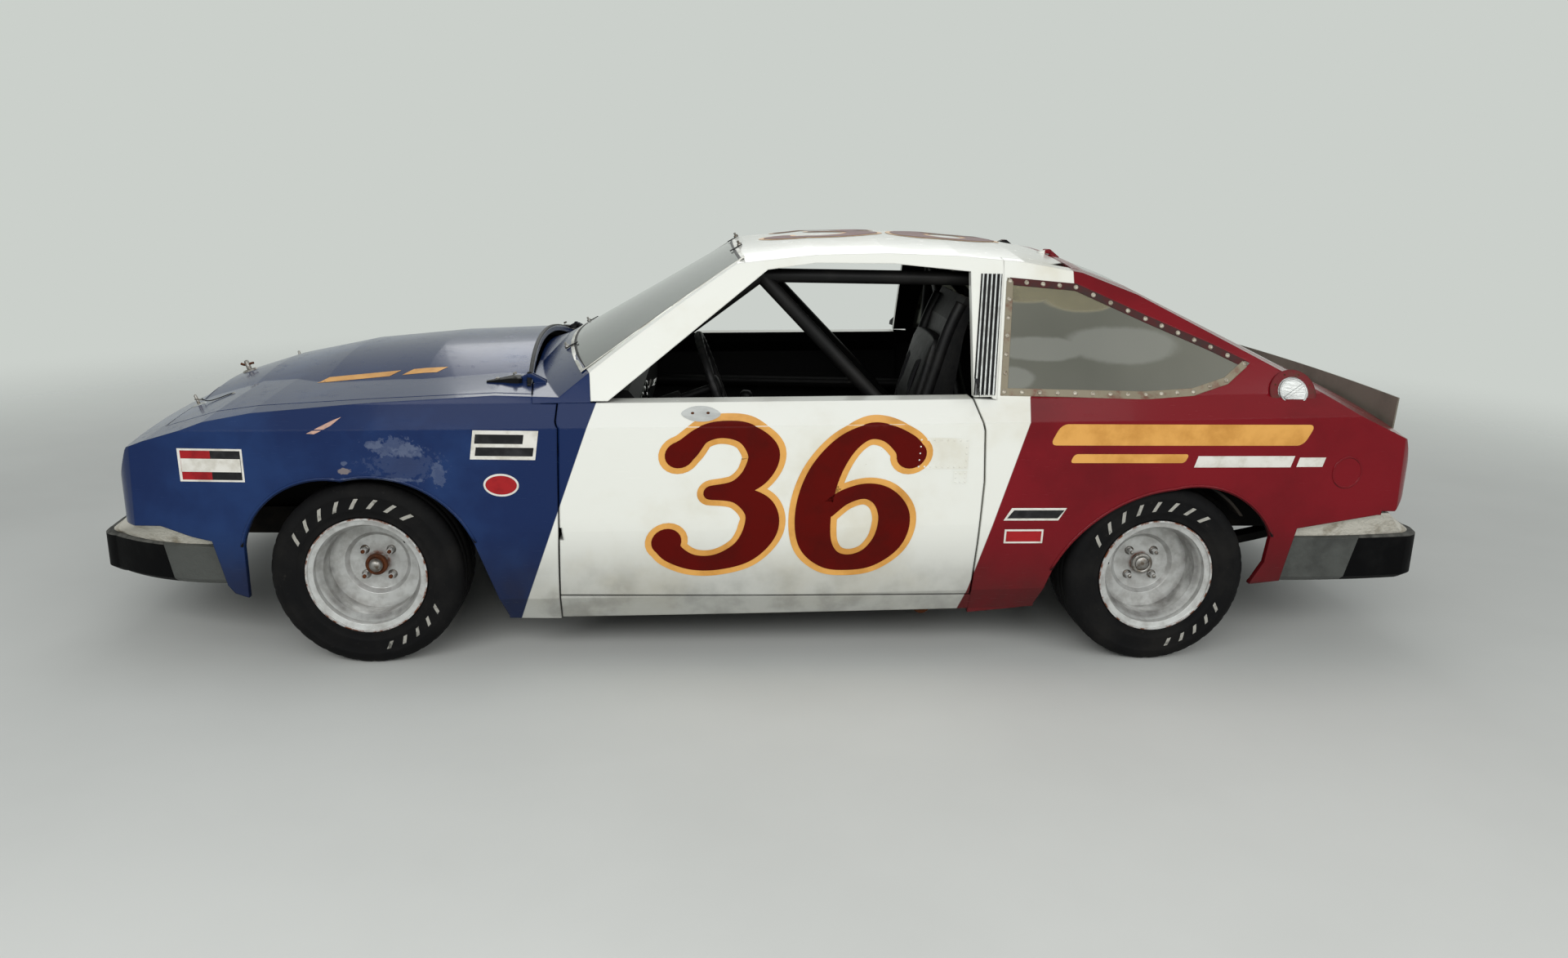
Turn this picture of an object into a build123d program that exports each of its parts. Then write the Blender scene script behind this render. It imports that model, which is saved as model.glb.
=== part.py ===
from build123d import *
import math
import os

os.makedirs("parts", exist_ok=True)

# Hatchback, a stock racing liftback. Millimetres, +X forward, +Y left, +Z up.
# Origin: floor level, under the middle of the car.

# Overall and axles
HALF_LENGTH = 2140
FRONT_AXLE_X = 1249
WHEELBASE = 2438.4
REAR_AXLE_X = FRONT_AXLE_X - WHEELBASE

# Wheels
TYRE_R = 288
TYRE_HALF_WIDTH = 117
TYRE_TREAD_HALF = 92
TYRE_SHOULDER_R = 271
TYRE_SHOULDER_HALF = 110
TYRE_BULGE_R = 232
RIM_LIP_R = 181
RIM_HALF_WIDTH = 112
RIM_WELL_R = 150
RIM_WALL = 6
RIM_BEAD_R = 165
RIM_BEAD_WIDTH = 22
TRACK_HALF = 763
HUB_FACE_Y = 727
DISC_R = 150
DISC_WALL = 9
HUB_PLATE_R = 93
WHEEL_SLOTS = 5
WHEEL_SLOT_R = 118
WHEEL_SLOT_WIDTH = 24
WHEEL_SLOT_ARC = 36
LUG_PCD = 114.3
LUG_COUNT = 4
LUG_R = 10
LUG_LENGTH = 24
HUB_CAP_R = 32
HUB_CAP_LENGTH = 30
WHEEL_SEAT_GAP = 0.3

# Body form. The side section is at the middle of the car, the body falls forward by RAKE.
RAKE = 1.2
SIDE_BOW_R = 45000
CROWN_R_BASE = 8700
CROWN_R_BULGE = 2100
CROWN_R_ROOF = 5200
NOSE_BOW_R = 4700
TAIL_BOW_R = 8200
SILL_BOTTOM_Y = 850
SILL_BOTTOM_Z = 158
SILL_TOP_Y = 885
SILL_TOP_Z = 232
MID_Y = 905
MID_Z = 450
WIDEST_Y = 914
WIDEST_Z = 770
BELT_Y = 830
BELT_Z = 828
RAIL_Y = 630
RAIL_Z = 1252

FENDER_WALL = 20
ROOF_WALL = 30
DOOR_WALL = 70
GLASS_WALL = 5
SEAM = 5

# Far limits of the helper forms
FAR = 3000
FAR_HALF = 1000
BELOW = -300
ABOVE = 1400
PANEL_FLOOR = 100

# Lines on the middle plane: (x, z)
BASE_LINE = [(2060, 600), (1999, 672), (1973, 700), (1859, 745), (1692, 797), (1564, 817), (1214, 846),
             (860, 871), (-1500, 850), (-1900, 800)]
BULGE_LINE = [(1960, 560), (1893, 759), (1713, 818), (1452, 874), (1131, 908), (650, 934)]
COWL_STEP_X = 802
COWL_LINE = [(1000, 700), (COWL_STEP_X, 885), (700, 915), (300, 990)]
ROOF_LINE = [(950, 1160), (95, 1266), (-110, 1289), (-330, 1297), (-560, 1293), (-762, 1279), (-946, 1251),
             (-1119, 1192), (-2100, 744)]
NOSE_X = 2045
NOSE_LINE = [(2045, 500), (2040, 534), (2029, 584), (1996, 672), (1970, 712), (1893, 762), (1893, ABOVE)]
TAIL_X = 2036
TAIL_LINE = [(1886, 470), (1990, 500), (2036, 560), (2030, 634), (2008, 700), (1988, 745), (1945, ABOVE)]

# Windscreen surface, ruled between two plan arcs: height, middle x, pillar x, pillar y
SCREEN_ARCS = [(500, 1447, 1045, 930), (1310, 24, 0, 616)]
SCREEN_SLOPE = 29.7


def swung_plane(origin, radial, axis, half):
    """Plane through an axis, turned back by half of the sweep."""
    x_dir = Vector(*radial).rotate(Axis((0, 0, 0), axis), -half)
    return Plane(origin=origin, x_dir=x_dir, z_dir=x_dir.cross(Vector(*axis)))


def band(outline, origin, radial, axis, half, inset):
    """Solid swept by an outline, in (radial, axial) distances, about a far axis."""
    with BuildPart() as form:
        with BuildSketch(swung_plane(origin, radial, axis, half)):
            with BuildLine():
                Polyline(*outline, close=True)
            make_face()
            if inset:
                offset(amount=-inset, kind=Kind.INTERSECTION)
        revolve(axis=Axis(origin, axis), revolution_arc=2 * half)
    return form.part


def side_form(inset):
    """Everything inboard of the left side, bowed in plan and raked."""
    rake = math.radians(RAKE)
    middle = WIDEST_Y - SIDE_BOW_R
    section = [(-FAR_HALF, BELOW), (SILL_BOTTOM_Y, BELOW), (SILL_BOTTOM_Y, SILL_BOTTOM_Z),
               (SILL_TOP_Y, SILL_TOP_Z), (MID_Y, MID_Z), (WIDEST_Y, WIDEST_Z), (BELT_Y, BELT_Z),
               (RAIL_Y, RAIL_Z), (RAIL_Y, ABOVE), (-FAR_HALF, ABOVE)]
    outline = [(y - middle, z) for y, z in section]
    half = math.degrees(FAR / SIDE_BOW_R)
    return band(outline, (0, middle, 0), (0, 1, 0), (math.sin(rake), 0, math.cos(rake)), half, inset)


def crown_form(line, radius, inset):
    """Everything below a middle line, crowned across the car."""
    middle = max(z for x, z in line) - radius
    outline = [(z - middle, x) for x, z in line]
    outline += [(BELOW - middle, line[-1][0]), (BELOW - middle, line[0][0])]
    half = math.degrees(math.asin(FAR_HALF / radius))
    return band(outline, (0, 0, middle), (0, 0, 1), (1, 0, 0), half, inset)


def end_cutter(line, reach, bow, facing, inset):
    """Everything beyond the nose or tail, bowed in plan."""
    outline = [(x - reach + bow, z) for x, z in line]
    outline += [(bow + FAR_HALF, line[-1][1]), (bow + FAR_HALF, line[0][1])]
    origin = (facing * (reach - bow), 0, 0)
    half = math.degrees(1.15 * FAR_HALF / bow)
    return band(outline, origin, (facing, 0, 0), (0, 0, 1), half, -inset)


def screen_form(inset):
    """Everything behind the windscreen surface."""
    shift = inset / math.sin(math.radians(SCREEN_SLOPE))
    with BuildPart() as form:
        for height, middle_x, pillar_x, pillar_y in SCREEN_ARCS:
            rise = middle_x - pillar_x
            radius = (pillar_y ** 2 + rise ** 2) / (2 * rise)
            front = middle_x - shift
            edge = front - radius + math.sqrt(radius ** 2 - FAR_HALF ** 2)
            with BuildSketch(Plane.XY.offset(height)):
                with BuildLine():
                    ThreePointArc((edge, FAR_HALF), (front, 0), (edge, -FAR_HALF))
                    Polyline((edge, -FAR_HALF), (-FAR, -FAR_HALF), (-FAR, FAR_HALF), (edge, FAR_HALF))
                make_face()
        loft(ruled=True)
    return form.part


# Rounded corners in plan: start on the side, middle, end on the nose or tail
CORNERS = [[(1850, 890), (1934, 846), (1976, 760)], [(-1870, 890), (-1966, 848), (-2008, 760)]]


def body_form(inset, cowl=False):
    """The closed body, inset from its outer skin."""
    side = side_form(inset)
    other_side = mirror(side, about=Plane.XZ)
    nose = [(NOSE_X, BELOW)] + NOSE_LINE
    tail = [(TAIL_LINE[0][0], BELOW)] + TAIL_LINE
    with BuildPart() as form:
        add(crown_form(ROOF_LINE, CROWN_R_ROOF, inset))
        add(screen_form(inset), mode=Mode.INTERSECT)
        add(crown_form(BASE_LINE, CROWN_R_BASE, inset))
        add(crown_form(COWL_LINE if cowl else BULGE_LINE, CROWN_R_BULGE, inset))
        add(side, mode=Mode.INTERSECT)
        add(other_side, mode=Mode.INTERSECT)
        add(end_cutter(nose, NOSE_X, NOSE_BOW_R, 1, inset), mode=Mode.SUBTRACT)
        add(end_cutter(tail, TAIL_X, TAIL_BOW_R, -1, inset), mode=Mode.SUBTRACT)
        with BuildSketch(Plane.XY.offset(BELOW)):
            for flip in (1, -1):
                for start, middle, end in CORNERS:
                    out = 1 if start[0] > 0 else -1
                    with BuildLine():
                        ThreePointArc((start[0] - out * inset, flip * (start[1] - inset)),
                                      (middle[0] - out * inset, flip * (middle[1] - inset)),
                                      (end[0] - out * inset, flip * (end[1] - inset)))
                        Polyline((end[0] - out * inset, flip * (end[1] - inset)),
                                 (out * FAR, flip * (end[1] - inset)), (out * FAR, flip * FAR_HALF * 1.4),
                                 (start[0] - out * inset, flip * FAR_HALF * 1.4),
                                 (start[0] - out * inset, flip * (start[1] - inset)))
                    make_face()
        extrude(amount=ABOVE - BELOW, mode=Mode.SUBTRACT)
    return form.part


def side_prism(points, near=200, far=1100):
    """Prism across the left half of the car from a side-view outline (x, z)."""
    with BuildPart() as form:
        with BuildSketch(Plane.XZ.offset(-far)):
            with BuildLine():
                Polyline(*points, close=True)
            make_face()
        extrude(amount=far - near)
    return form.part


def plan_prism(points, low=PANEL_FLOOR, high=ABOVE):
    """Upright prism from a plan outline (x, y)."""
    with BuildPart() as form:
        with BuildSketch(Plane.XY.offset(low)):
            with BuildLine():
                Polyline(*points, close=True)
            make_face()
        extrude(amount=high - low)
    return form.part


def arch_prism(points, low):
    """Wheel arch through the left side: two arcs through five points, then straight down."""
    with BuildPart() as form:
        with BuildSketch(Plane.XZ.offset(-1100)):
            with BuildLine():
                ThreePointArc(*points[0:3])
                ThreePointArc(*points[2:5])
                Polyline(points[4], *low, points[0])
            make_face()
        extrude(amount=700)
    return form.part


def arc_plan(middle_x, side_x, side_y, reach, low=PANEL_FLOOR, high=ABOVE):
    """Plan region behind an arc across the car, back to x = reach."""
    with BuildPart() as form:
        with BuildSketch(Plane.XY.offset(low)):
            with BuildLine():
                ThreePointArc((side_x, side_y), (middle_x, 0), (side_x, -side_y))
                Polyline((side_x, -side_y), (side_x - 40, -FAR_HALF), (reach, -FAR_HALF),
                         (reach, FAR_HALF), (side_x - 40, FAR_HALF), (side_x, side_y))
            make_face()
        extrude(amount=high - low)
    return form.part


# Panel seams
HOOD_FRONT_X = 1893
HOOD_FRONT_SIDE_X = 1845
HOOD_REAR_X = 806
HOOD_REAR_SIDE_X = 752
HOOD_SIDE_FRONT_Y = 735
HOOD_SIDE_REAR_Y = 782
SCREEN_BASE_X = 698
SCREEN_BASE_SIDE_X = 577
SCREEN_BASE_SIDE_Y = 790
NOSE_SEAM_Y = 735
NOSE_BOTTOM_Z = 443
TAIL_BOTTOM_Z = 488
DOOR_TOP = [(720, 813), (-640, 841.5)]
DOOR_BOTTOM_Z = 231
DOOR_REAR_LINE = [(-595, 231), (-605, 400), (-612, 600), (-603, 760), (-580, 840)]
DOOR_AXIS_X = 628
DOOR_AXIS_Y = 880
DOOR_EDGE_R = 40
HATCH_FRONT_X = -930
HATCH_REAR_X = -1888
HATCH_FRONT_Y = 590
HATCH_REAR_Y = 700
PILLAR_SEAM = [(-655, 838), (-695, 1215)]
FRONT_ARCH = [(1600, 380), (1512, 527), (1300, 586), (1060, 556), (921, 400)]
FRONT_ARCH_FOOT = [(832, 150), (832, 90), (1640, 90), (1606, 213)]
REAR_ARCH = [(-853, 310), (-985, 479), (-1215, 572), (-1440, 537), (-1546, 418)]
REAR_ARCH_FOOT = [(-1540, 330), (-1505, 262), (-1505, 90), (-811, 90), (-811, 188)]

outer = body_form(0)
inner = body_form(FENDER_WALL)
outer_low = body_form(0, cowl=True)
inner_low = body_form(FENDER_WALL, cowl=True)
roof_inner = body_form(ROOF_WALL)
side_outer = side_form(0)
front_arch = arch_prism(FRONT_ARCH, FRONT_ARCH_FOOT)
rear_arch = arch_prism(REAR_ARCH, REAR_ARCH_FOOT)

with BuildPart() as skin:
    add(outer)
    add(inner, mode=Mode.SUBTRACT)
    with BuildSketch(Plane.XY.offset(PANEL_FLOOR)):
        Rectangle(3 * FAR, 3 * FAR)
    extrude(amount=ABOVE, mode=Mode.INTERSECT)

def hood_region(grow):
    """Plan region of the hood, grown all round."""
    with BuildPart() as form:
        with BuildSketch(Plane.XY.offset(650)):
            with BuildLine():
                ThreePointArc((HOOD_FRONT_SIDE_X, HOOD_SIDE_FRONT_Y), (HOOD_FRONT_X, 0),
                              (HOOD_FRONT_SIDE_X, -HOOD_SIDE_FRONT_Y))
                Line((HOOD_FRONT_SIDE_X, -HOOD_SIDE_FRONT_Y), (HOOD_REAR_SIDE_X, -HOOD_SIDE_REAR_Y))
                ThreePointArc((HOOD_REAR_SIDE_X, -HOOD_SIDE_REAR_Y), (HOOD_REAR_X, 0),
                              (HOOD_REAR_SIDE_X, HOOD_SIDE_REAR_Y))
                Line((HOOD_REAR_SIDE_X, HOOD_SIDE_REAR_Y), (HOOD_FRONT_SIDE_X, HOOD_SIDE_FRONT_Y))
            make_face()
            if grow:
                offset(amount=grow, kind=Kind.INTERSECTION)
        extrude(amount=ABOVE - 650)
    return form.part


FIT_GAP = 0.3
# Lid hinges: ears with pins on the body, lugs on the lids
HOOD_AXIS_X = 775
HOOD_AXIS_Z = 866
HOOD_HINGE_Y = 643
HATCH_AXIS_X = -927.5
HATCH_AXIS_Z = 1255
HATCH_HINGE_Y = 300
LID_PIN_R = 4
LID_EYE_R = 8
LID_EYE_HALF = 8
LID_EAR_WALL = 6
LID_GAP = 0.4


def hinge_plate(axis_x, axis_z, y, width, reach, foot_z):
    """Plate with an eye on the axis and a foot towards `reach`."""
    out = 1 if reach > axis_x else -1
    with BuildPart() as plate:
        with BuildSketch(Plane.XZ.offset(-y - width / 2)):
            with Locations((axis_x, axis_z)):
                Circle(LID_EYE_R)
            with BuildLine():
                Polyline((axis_x, axis_z + LID_EYE_R - 1), (axis_x + out * 8, axis_z + LID_EYE_R - 1),
                         (reach, foot_z + 9), (reach, foot_z), (axis_x + out * 14, foot_z),
                         (axis_x + out * 6, axis_z - 5), (axis_x, axis_z - LID_EYE_R + 1), close=True)
            make_face()
        extrude(amount=width)
    return plate.part


def hinge_pin(axis_x, axis_z, y, radius):
    """Cross pin through one hinge."""
    half = LID_EYE_HALF + LID_GAP + LID_EAR_WALL
    with BuildPart() as pin:
        with BuildSketch(Plane(origin=(axis_x, y + half, axis_z), x_dir=(1, 0, 0), z_dir=(0, -1, 0))):
            Circle(radius)
        extrude(amount=2 * half)
    return pin.part


def body_ears(axis_x, axis_z, hinge_y, reach, foot_z):
    """Both hinges' ears and pins on the body."""
    with BuildPart() as ears:
        for y in (hinge_y, -hinge_y):
            for flip in (1, -1):
                centre = y + flip * (LID_EYE_HALF + LID_GAP + LID_EAR_WALL / 2)
                add(hinge_plate(axis_x, axis_z, centre, LID_EAR_WALL, reach, foot_z))
            add(hinge_pin(axis_x, axis_z, y, LID_PIN_R))
    return ears.part


def lid_lugs(axis_x, axis_z, hinge_y, reach, foot_z):
    """Both hinges' lugs on a lid, bored for the pins."""
    with BuildPart() as lugs:
        for y in (hinge_y, -hinge_y):
            add(hinge_plate(axis_x, axis_z, y, 2 * LID_EYE_HALF, reach, foot_z))
            add(hinge_pin(axis_x, axis_z, y, LID_PIN_R + FIT_GAP), mode=Mode.SUBTRACT)
    return lugs.part


with BuildPart() as hood:
    add(skin.part)
    add(hood_region(0), mode=Mode.INTERSECT)
    add(lid_lugs(HOOD_AXIS_X, HOOD_AXIS_Z, HOOD_HINGE_Y, HOOD_AXIS_X + 60, 838))

# Fender: side of the front end, ahead of the door's rounded edge
fender_side = [(DOOR_AXIS_X, 140), (2200, 140), (2200, 1000), (DOOR_AXIS_X, 1000)]
with BuildPart() as door_edge_cut:
    with BuildSketch(Plane.XY.offset(PANEL_FLOOR)):
        with Locations((DOOR_AXIS_X, DOOR_AXIS_Y)):
            Circle(DOOR_EDGE_R + SEAM)
        with Locations((DOOR_AXIS_X - 500, 700)):
            Rectangle(1000, 800)
        with Locations((DOOR_AXIS_X + (DOOR_EDGE_R + SEAM) / 2, DOOR_AXIS_Y - 100)):
            Rectangle(DOOR_EDGE_R + SEAM, 200)
    extrude(amount=ABOVE)

FENDER_LOWER = [(1600, 90), (1606, 213), (1645, 227), (1664, 253), (1692, 396), (1749, 410),
                (1836, NOSE_BOTTOM_Z), (2300, NOSE_BOTTOM_Z), (2300, 90)]
with BuildPart() as fender_left:
    add(skin.part)
    add(side_prism(fender_side, near=500), mode=Mode.INTERSECT)
    add(hood_region(SEAM), mode=Mode.SUBTRACT)
    add(arc_plan(HOOD_REAR_X, HOOD_REAR_SIDE_X, HOOD_SIDE_REAR_Y, -500, low=812), mode=Mode.SUBTRACT)
    with BuildSketch(Plane.XY.offset(400)):
        with Locations((HOOD_FRONT_SIDE_X - 200 + 500, 0)):
            Rectangle(1000, 2 * NOSE_SEAM_Y)
    extrude(amount=700, mode=Mode.SUBTRACT)
    add(door_edge_cut.part, mode=Mode.SUBTRACT)
    add(front_arch, mode=Mode.SUBTRACT)
    add(side_prism(FENDER_LOWER, near=-100), mode=Mode.SUBTRACT)


with BuildPart() as fender_right:
    mirror(fender_left.part, about=Plane.XZ)

# Nose panel between the fenders, with the grille opening and two lamp openings each side
GRILLE_HALF = 420
GRILLE_LOW_Z = 515
GRILLE_HIGH_Z = 650
LAMP_IN_Y = 450
LAMP_OUT_Y = 690
with BuildPart() as nose_panel:
    add(skin.part)
    with BuildSketch(Plane.XY.offset(NOSE_BOTTOM_Z)):
        with Locations((HOOD_FRONT_SIDE_X - 200 + 500, 0)):
            Rectangle(1000, 2 * NOSE_SEAM_Y)
    extrude(amount=500, mode=Mode.INTERSECT)
    add(hood_region(SEAM), mode=Mode.SUBTRACT)
    with BuildSketch(Plane.YZ.offset(1700)):
        with Locations((0, (GRILLE_LOW_Z + GRILLE_HIGH_Z) / 2)):
            Rectangle(2 * GRILLE_HALF, GRILLE_HIGH_Z - GRILLE_LOW_Z)
        with Locations(((LAMP_IN_Y + LAMP_OUT_Y) / 2, (GRILLE_LOW_Z + GRILLE_HIGH_Z) / 2),
                       (-(LAMP_IN_Y + LAMP_OUT_Y) / 2, (GRILLE_LOW_Z + GRILLE_HIGH_Z) / 2)):
            Rectangle(LAMP_OUT_Y - LAMP_IN_Y, GRILLE_HIGH_Z - GRILLE_LOW_Z)
    extrude(amount=600, mode=Mode.SUBTRACT)
    split(bisect_by=Plane.YZ.offset(1700), keep=Keep.TOP)

# Cowl: stepped down behind the hood, up to the windscreen base
with BuildPart() as cowl:
    add(outer_low)
    add(inner_low, mode=Mode.SUBTRACT)
    with BuildSketch(Plane.XY.offset(760)):
        with BuildLine():
            ThreePointArc((SCREEN_BASE_SIDE_X, SCREEN_BASE_SIDE_Y), (SCREEN_BASE_X, 0),
                          (SCREEN_BASE_SIDE_X, -SCREEN_BASE_SIDE_Y))
            Polyline((SCREEN_BASE_SIDE_X, -SCREEN_BASE_SIDE_Y), (SCREEN_BASE_SIDE_X - 30, -FAR_HALF),
                     (HOOD_REAR_SIDE_X - SEAM, -FAR_HALF),
                     (HOOD_REAR_SIDE_X - SEAM, -HOOD_SIDE_REAR_Y - SEAM))
            ThreePointArc((HOOD_REAR_SIDE_X - SEAM, -HOOD_SIDE_REAR_Y - SEAM), (HOOD_REAR_X - SEAM, 0),
                          (HOOD_REAR_SIDE_X - SEAM, HOOD_SIDE_REAR_Y + SEAM))
            Polyline((HOOD_REAR_SIDE_X - SEAM, HOOD_SIDE_REAR_Y + SEAM), (HOOD_REAR_SIDE_X - SEAM, FAR_HALF),
                     (SCREEN_BASE_SIDE_X - 30, FAR_HALF), (SCREEN_BASE_SIDE_X, SCREEN_BASE_SIDE_Y))
        make_face()
    extrude(amount=ABOVE, mode=Mode.INTERSECT)
    add(side_prism([DOOR_TOP[0], DOOR_TOP[1], (-640, 400), (720, 400)], near=-1100), mode=Mode.SUBTRACT)
    add(fender_left.part, mode=Mode.SUBTRACT)
    add(fender_right.part, mode=Mode.SUBTRACT)
    add(body_ears(HOOD_AXIS_X, HOOD_AXIS_Z, HOOD_HINGE_Y, HOOD_AXIS_X - 50, 843))

# Roof with pillars and rails
WINDOW = [(545, 790), (541, 806), (41, 1204), (-109, 1226), (-350, 1228), (-590, 1209), (-583, 790)]
SCREEN_PLANE = Plane(origin=(408, 0, 1091), x_dir=(0, 1, 0),
                     z_dir=(math.sin(math.radians(SCREEN_SLOPE)), 0, math.cos(math.radians(SCREEN_SLOPE))))


def screen_prism(shrink):
    """Prism square to the windscreen, shrunk all round."""
    with BuildPart() as form:
        with BuildSketch(SCREEN_PLANE):
            with BuildLine():
                low_y, low_v, high_y, high_v = 742 - shrink, -262 + shrink, 592 - shrink, 322 - shrink
                ThreePointArc((low_y, low_v), (0, -330 + shrink), (-low_y, low_v))
                Line((-low_y, low_v), (-high_y, high_v))
                ThreePointArc((-high_y, high_v), (0, 314 - shrink), (high_y, high_v))
                Line((high_y, high_v), (low_y, low_v))
            make_face()
        extrude(amount=200, both=True)
    return form.part


with BuildPart() as roof:
    add(outer_low)
    add(roof_inner, mode=Mode.SUBTRACT)
    add(side_prism([(720, 818), (-640, 846.5), (-640, 841.5), PILLAR_SEAM[0], PILLAR_SEAM[1], (-700, 1230),
                    (-2000, 1230), (-2000, ABOVE), (720, ABOVE)], near=-1100), mode=Mode.INTERSECT)
    with BuildSketch(Plane.XY.offset(700)):
        with BuildLine():
            ThreePointArc((SCREEN_BASE_SIDE_X, SCREEN_BASE_SIDE_Y), (SCREEN_BASE_X, 0),
                          (SCREEN_BASE_SIDE_X, -SCREEN_BASE_SIDE_Y))
            Polyline((SCREEN_BASE_SIDE_X, -SCREEN_BASE_SIDE_Y), (SCREEN_BASE_SIDE_X - 30, -FAR_HALF),
                     (PILLAR_SEAM[1][0], -FAR_HALF), (PILLAR_SEAM[1][0], -HATCH_FRONT_Y),
                     (HATCH_FRONT_X + SEAM, -HATCH_FRONT_Y), (HATCH_FRONT_X + SEAM, HATCH_FRONT_Y),
                     (PILLAR_SEAM[1][0], HATCH_FRONT_Y), (PILLAR_SEAM[1][0], FAR_HALF),
                     (SCREEN_BASE_SIDE_X - 30, FAR_HALF), (SCREEN_BASE_SIDE_X, SCREEN_BASE_SIDE_Y))
        make_face()
    extrude(amount=ABOVE, mode=Mode.INTERSECT)
    add(screen_prism(0), mode=Mode.SUBTRACT)
    add(side_prism(WINDOW, near=400), mode=Mode.SUBTRACT)
    add(side_prism(WINDOW, near=-1100, far=-400), mode=Mode.SUBTRACT)
    add(body_ears(HATCH_AXIS_X, HATCH_AXIS_Z, HATCH_HINGE_Y, HATCH_AXIS_X + 40, 1240))

with BuildPart() as windscreen:
    add(screen_form(2))
    add(screen_form(2 + GLASS_WALL), mode=Mode.SUBTRACT)
    add(screen_prism(WHEEL_SEAT_GAP), mode=Mode.INTERSECT)
    add(roof.part, mode=Mode.SUBTRACT)
    add(cowl.part, mode=Mode.SUBTRACT)

# Quarter panel: side behind the door with the sail, window cut out
QUARTER_WINDOW = [(-668, 852), (-704, 1192), (-922, 1176), (-1139, 1085), (-1342, 1004), (-1462, 950),
                  (-1385, 890), (-1274, 856), (-1120, 846)]
QUARTER_SIDE = [(-601, 157), (-601, 231), (-611, 400), (-618, 600), (-609, 760), (-586, 841), PILLAR_SEAM[0],
                PILLAR_SEAM[1], (-700, ABOVE), (-2300, ABOVE), (-2300, TAIL_BOTTOM_Z), (-1886, TAIL_BOTTOM_Z),
                (-1629, 445), (-1601, 266), (-1514, 255), (-1500, 254), (-1500, 100), (-811, 100),
                (-819, 178)]
with BuildPart() as quarter_left:
    add(outer)
    add(side_prism(QUARTER_SIDE, near=400), mode=Mode.INTERSECT)
    add(inner, mode=Mode.SUBTRACT)
    add(plan_prism([(-400, HATCH_FRONT_Y), (HATCH_FRONT_X, HATCH_FRONT_Y),
                    (HATCH_REAR_X, HATCH_REAR_Y + SEAM), (-2300, HATCH_REAR_Y + SEAM), (-2300, -1000),
                    (-400, -1000)]), mode=Mode.SUBTRACT)
    add(rear_arch, mode=Mode.SUBTRACT)
    add(side_prism(QUARTER_WINDOW, near=400), mode=Mode.SUBTRACT)
with BuildPart() as quarter_right:
    mirror(quarter_left.part, about=Plane.XZ)

with BuildPart() as quarter_glass_left:
    add(side_outer)
    add(side_form(GLASS_WALL), mode=Mode.SUBTRACT)
    add(side_prism(QUARTER_WINDOW, near=400), mode=Mode.INTERSECT)
with BuildPart() as quarter_glass_right:
    mirror(quarter_glass_left.part, about=Plane.XZ)

# Door: as thick as the whole door, rounded front edge about the hinge axis
HINGE_Z = [430, 690]
HINGE_PIN_R = 4
HINGE_EYE_R = 7
HINGE_EYE_HALF = 16
HINGE_NOTCH_HALF = 20
HINGE_CLEARANCE = 0.3
HINGE_NOTCH_R = 86
HINGE_NOTCH_TURNS = (-100, -55, -10, 34)
door_side = [DOOR_TOP[0], (DOOR_AXIS_X + 60, DOOR_BOTTOM_Z)] + DOOR_REAR_LINE
with BuildPart() as door_plan:
    with BuildSketch(Plane.XY.offset(PANEL_FLOOR)):
        with Locations((DOOR_AXIS_X, DOOR_AXIS_Y)):
            Circle(DOOR_EDGE_R)
        with Locations((DOOR_AXIS_X - 750, 800)):
            Rectangle(1500, 400)
        with Locations((DOOR_AXIS_X + DOOR_EDGE_R / 2, DOOR_AXIS_Y - 100)):
            Rectangle(DOOR_EDGE_R, 200)
    extrude(amount=ABOVE)
with BuildPart() as door_left:
    add(side_outer)
    add(side_form(DOOR_WALL), mode=Mode.SUBTRACT)
    add(side_prism(door_side, near=500), mode=Mode.INTERSECT)
    add(door_plan.part, mode=Mode.INTERSECT)
    for z in HINGE_Z:
        with BuildSketch(Plane.XY.offset(z - HINGE_NOTCH_HALF)):
            with Locations((DOOR_AXIS_X, DOOR_AXIS_Y)):
                Circle(HINGE_EYE_R + 3)
            with BuildLine():
                pin = Vector(DOOR_AXIS_X, DOOR_AXIS_Y)
                fan = [pin + Vector(HINGE_NOTCH_R, 0).rotate(Axis.Z, turn) for turn in HINGE_NOTCH_TURNS]
                Polyline(pin, *fan, close=True)
            make_face()
        extrude(amount=2 * HINGE_NOTCH_HALF, mode=Mode.SUBTRACT)
        with BuildSketch(Plane.XY.offset(z - HINGE_NOTCH_HALF - 2)):
            with Locations((DOOR_AXIS_X, DOOR_AXIS_Y)):
                Circle(HINGE_PIN_R)
        extrude(amount=2 * HINGE_NOTCH_HALF + 4)
with BuildPart() as door_right:
    mirror(door_left.part, about=Plane.XZ)

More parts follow.
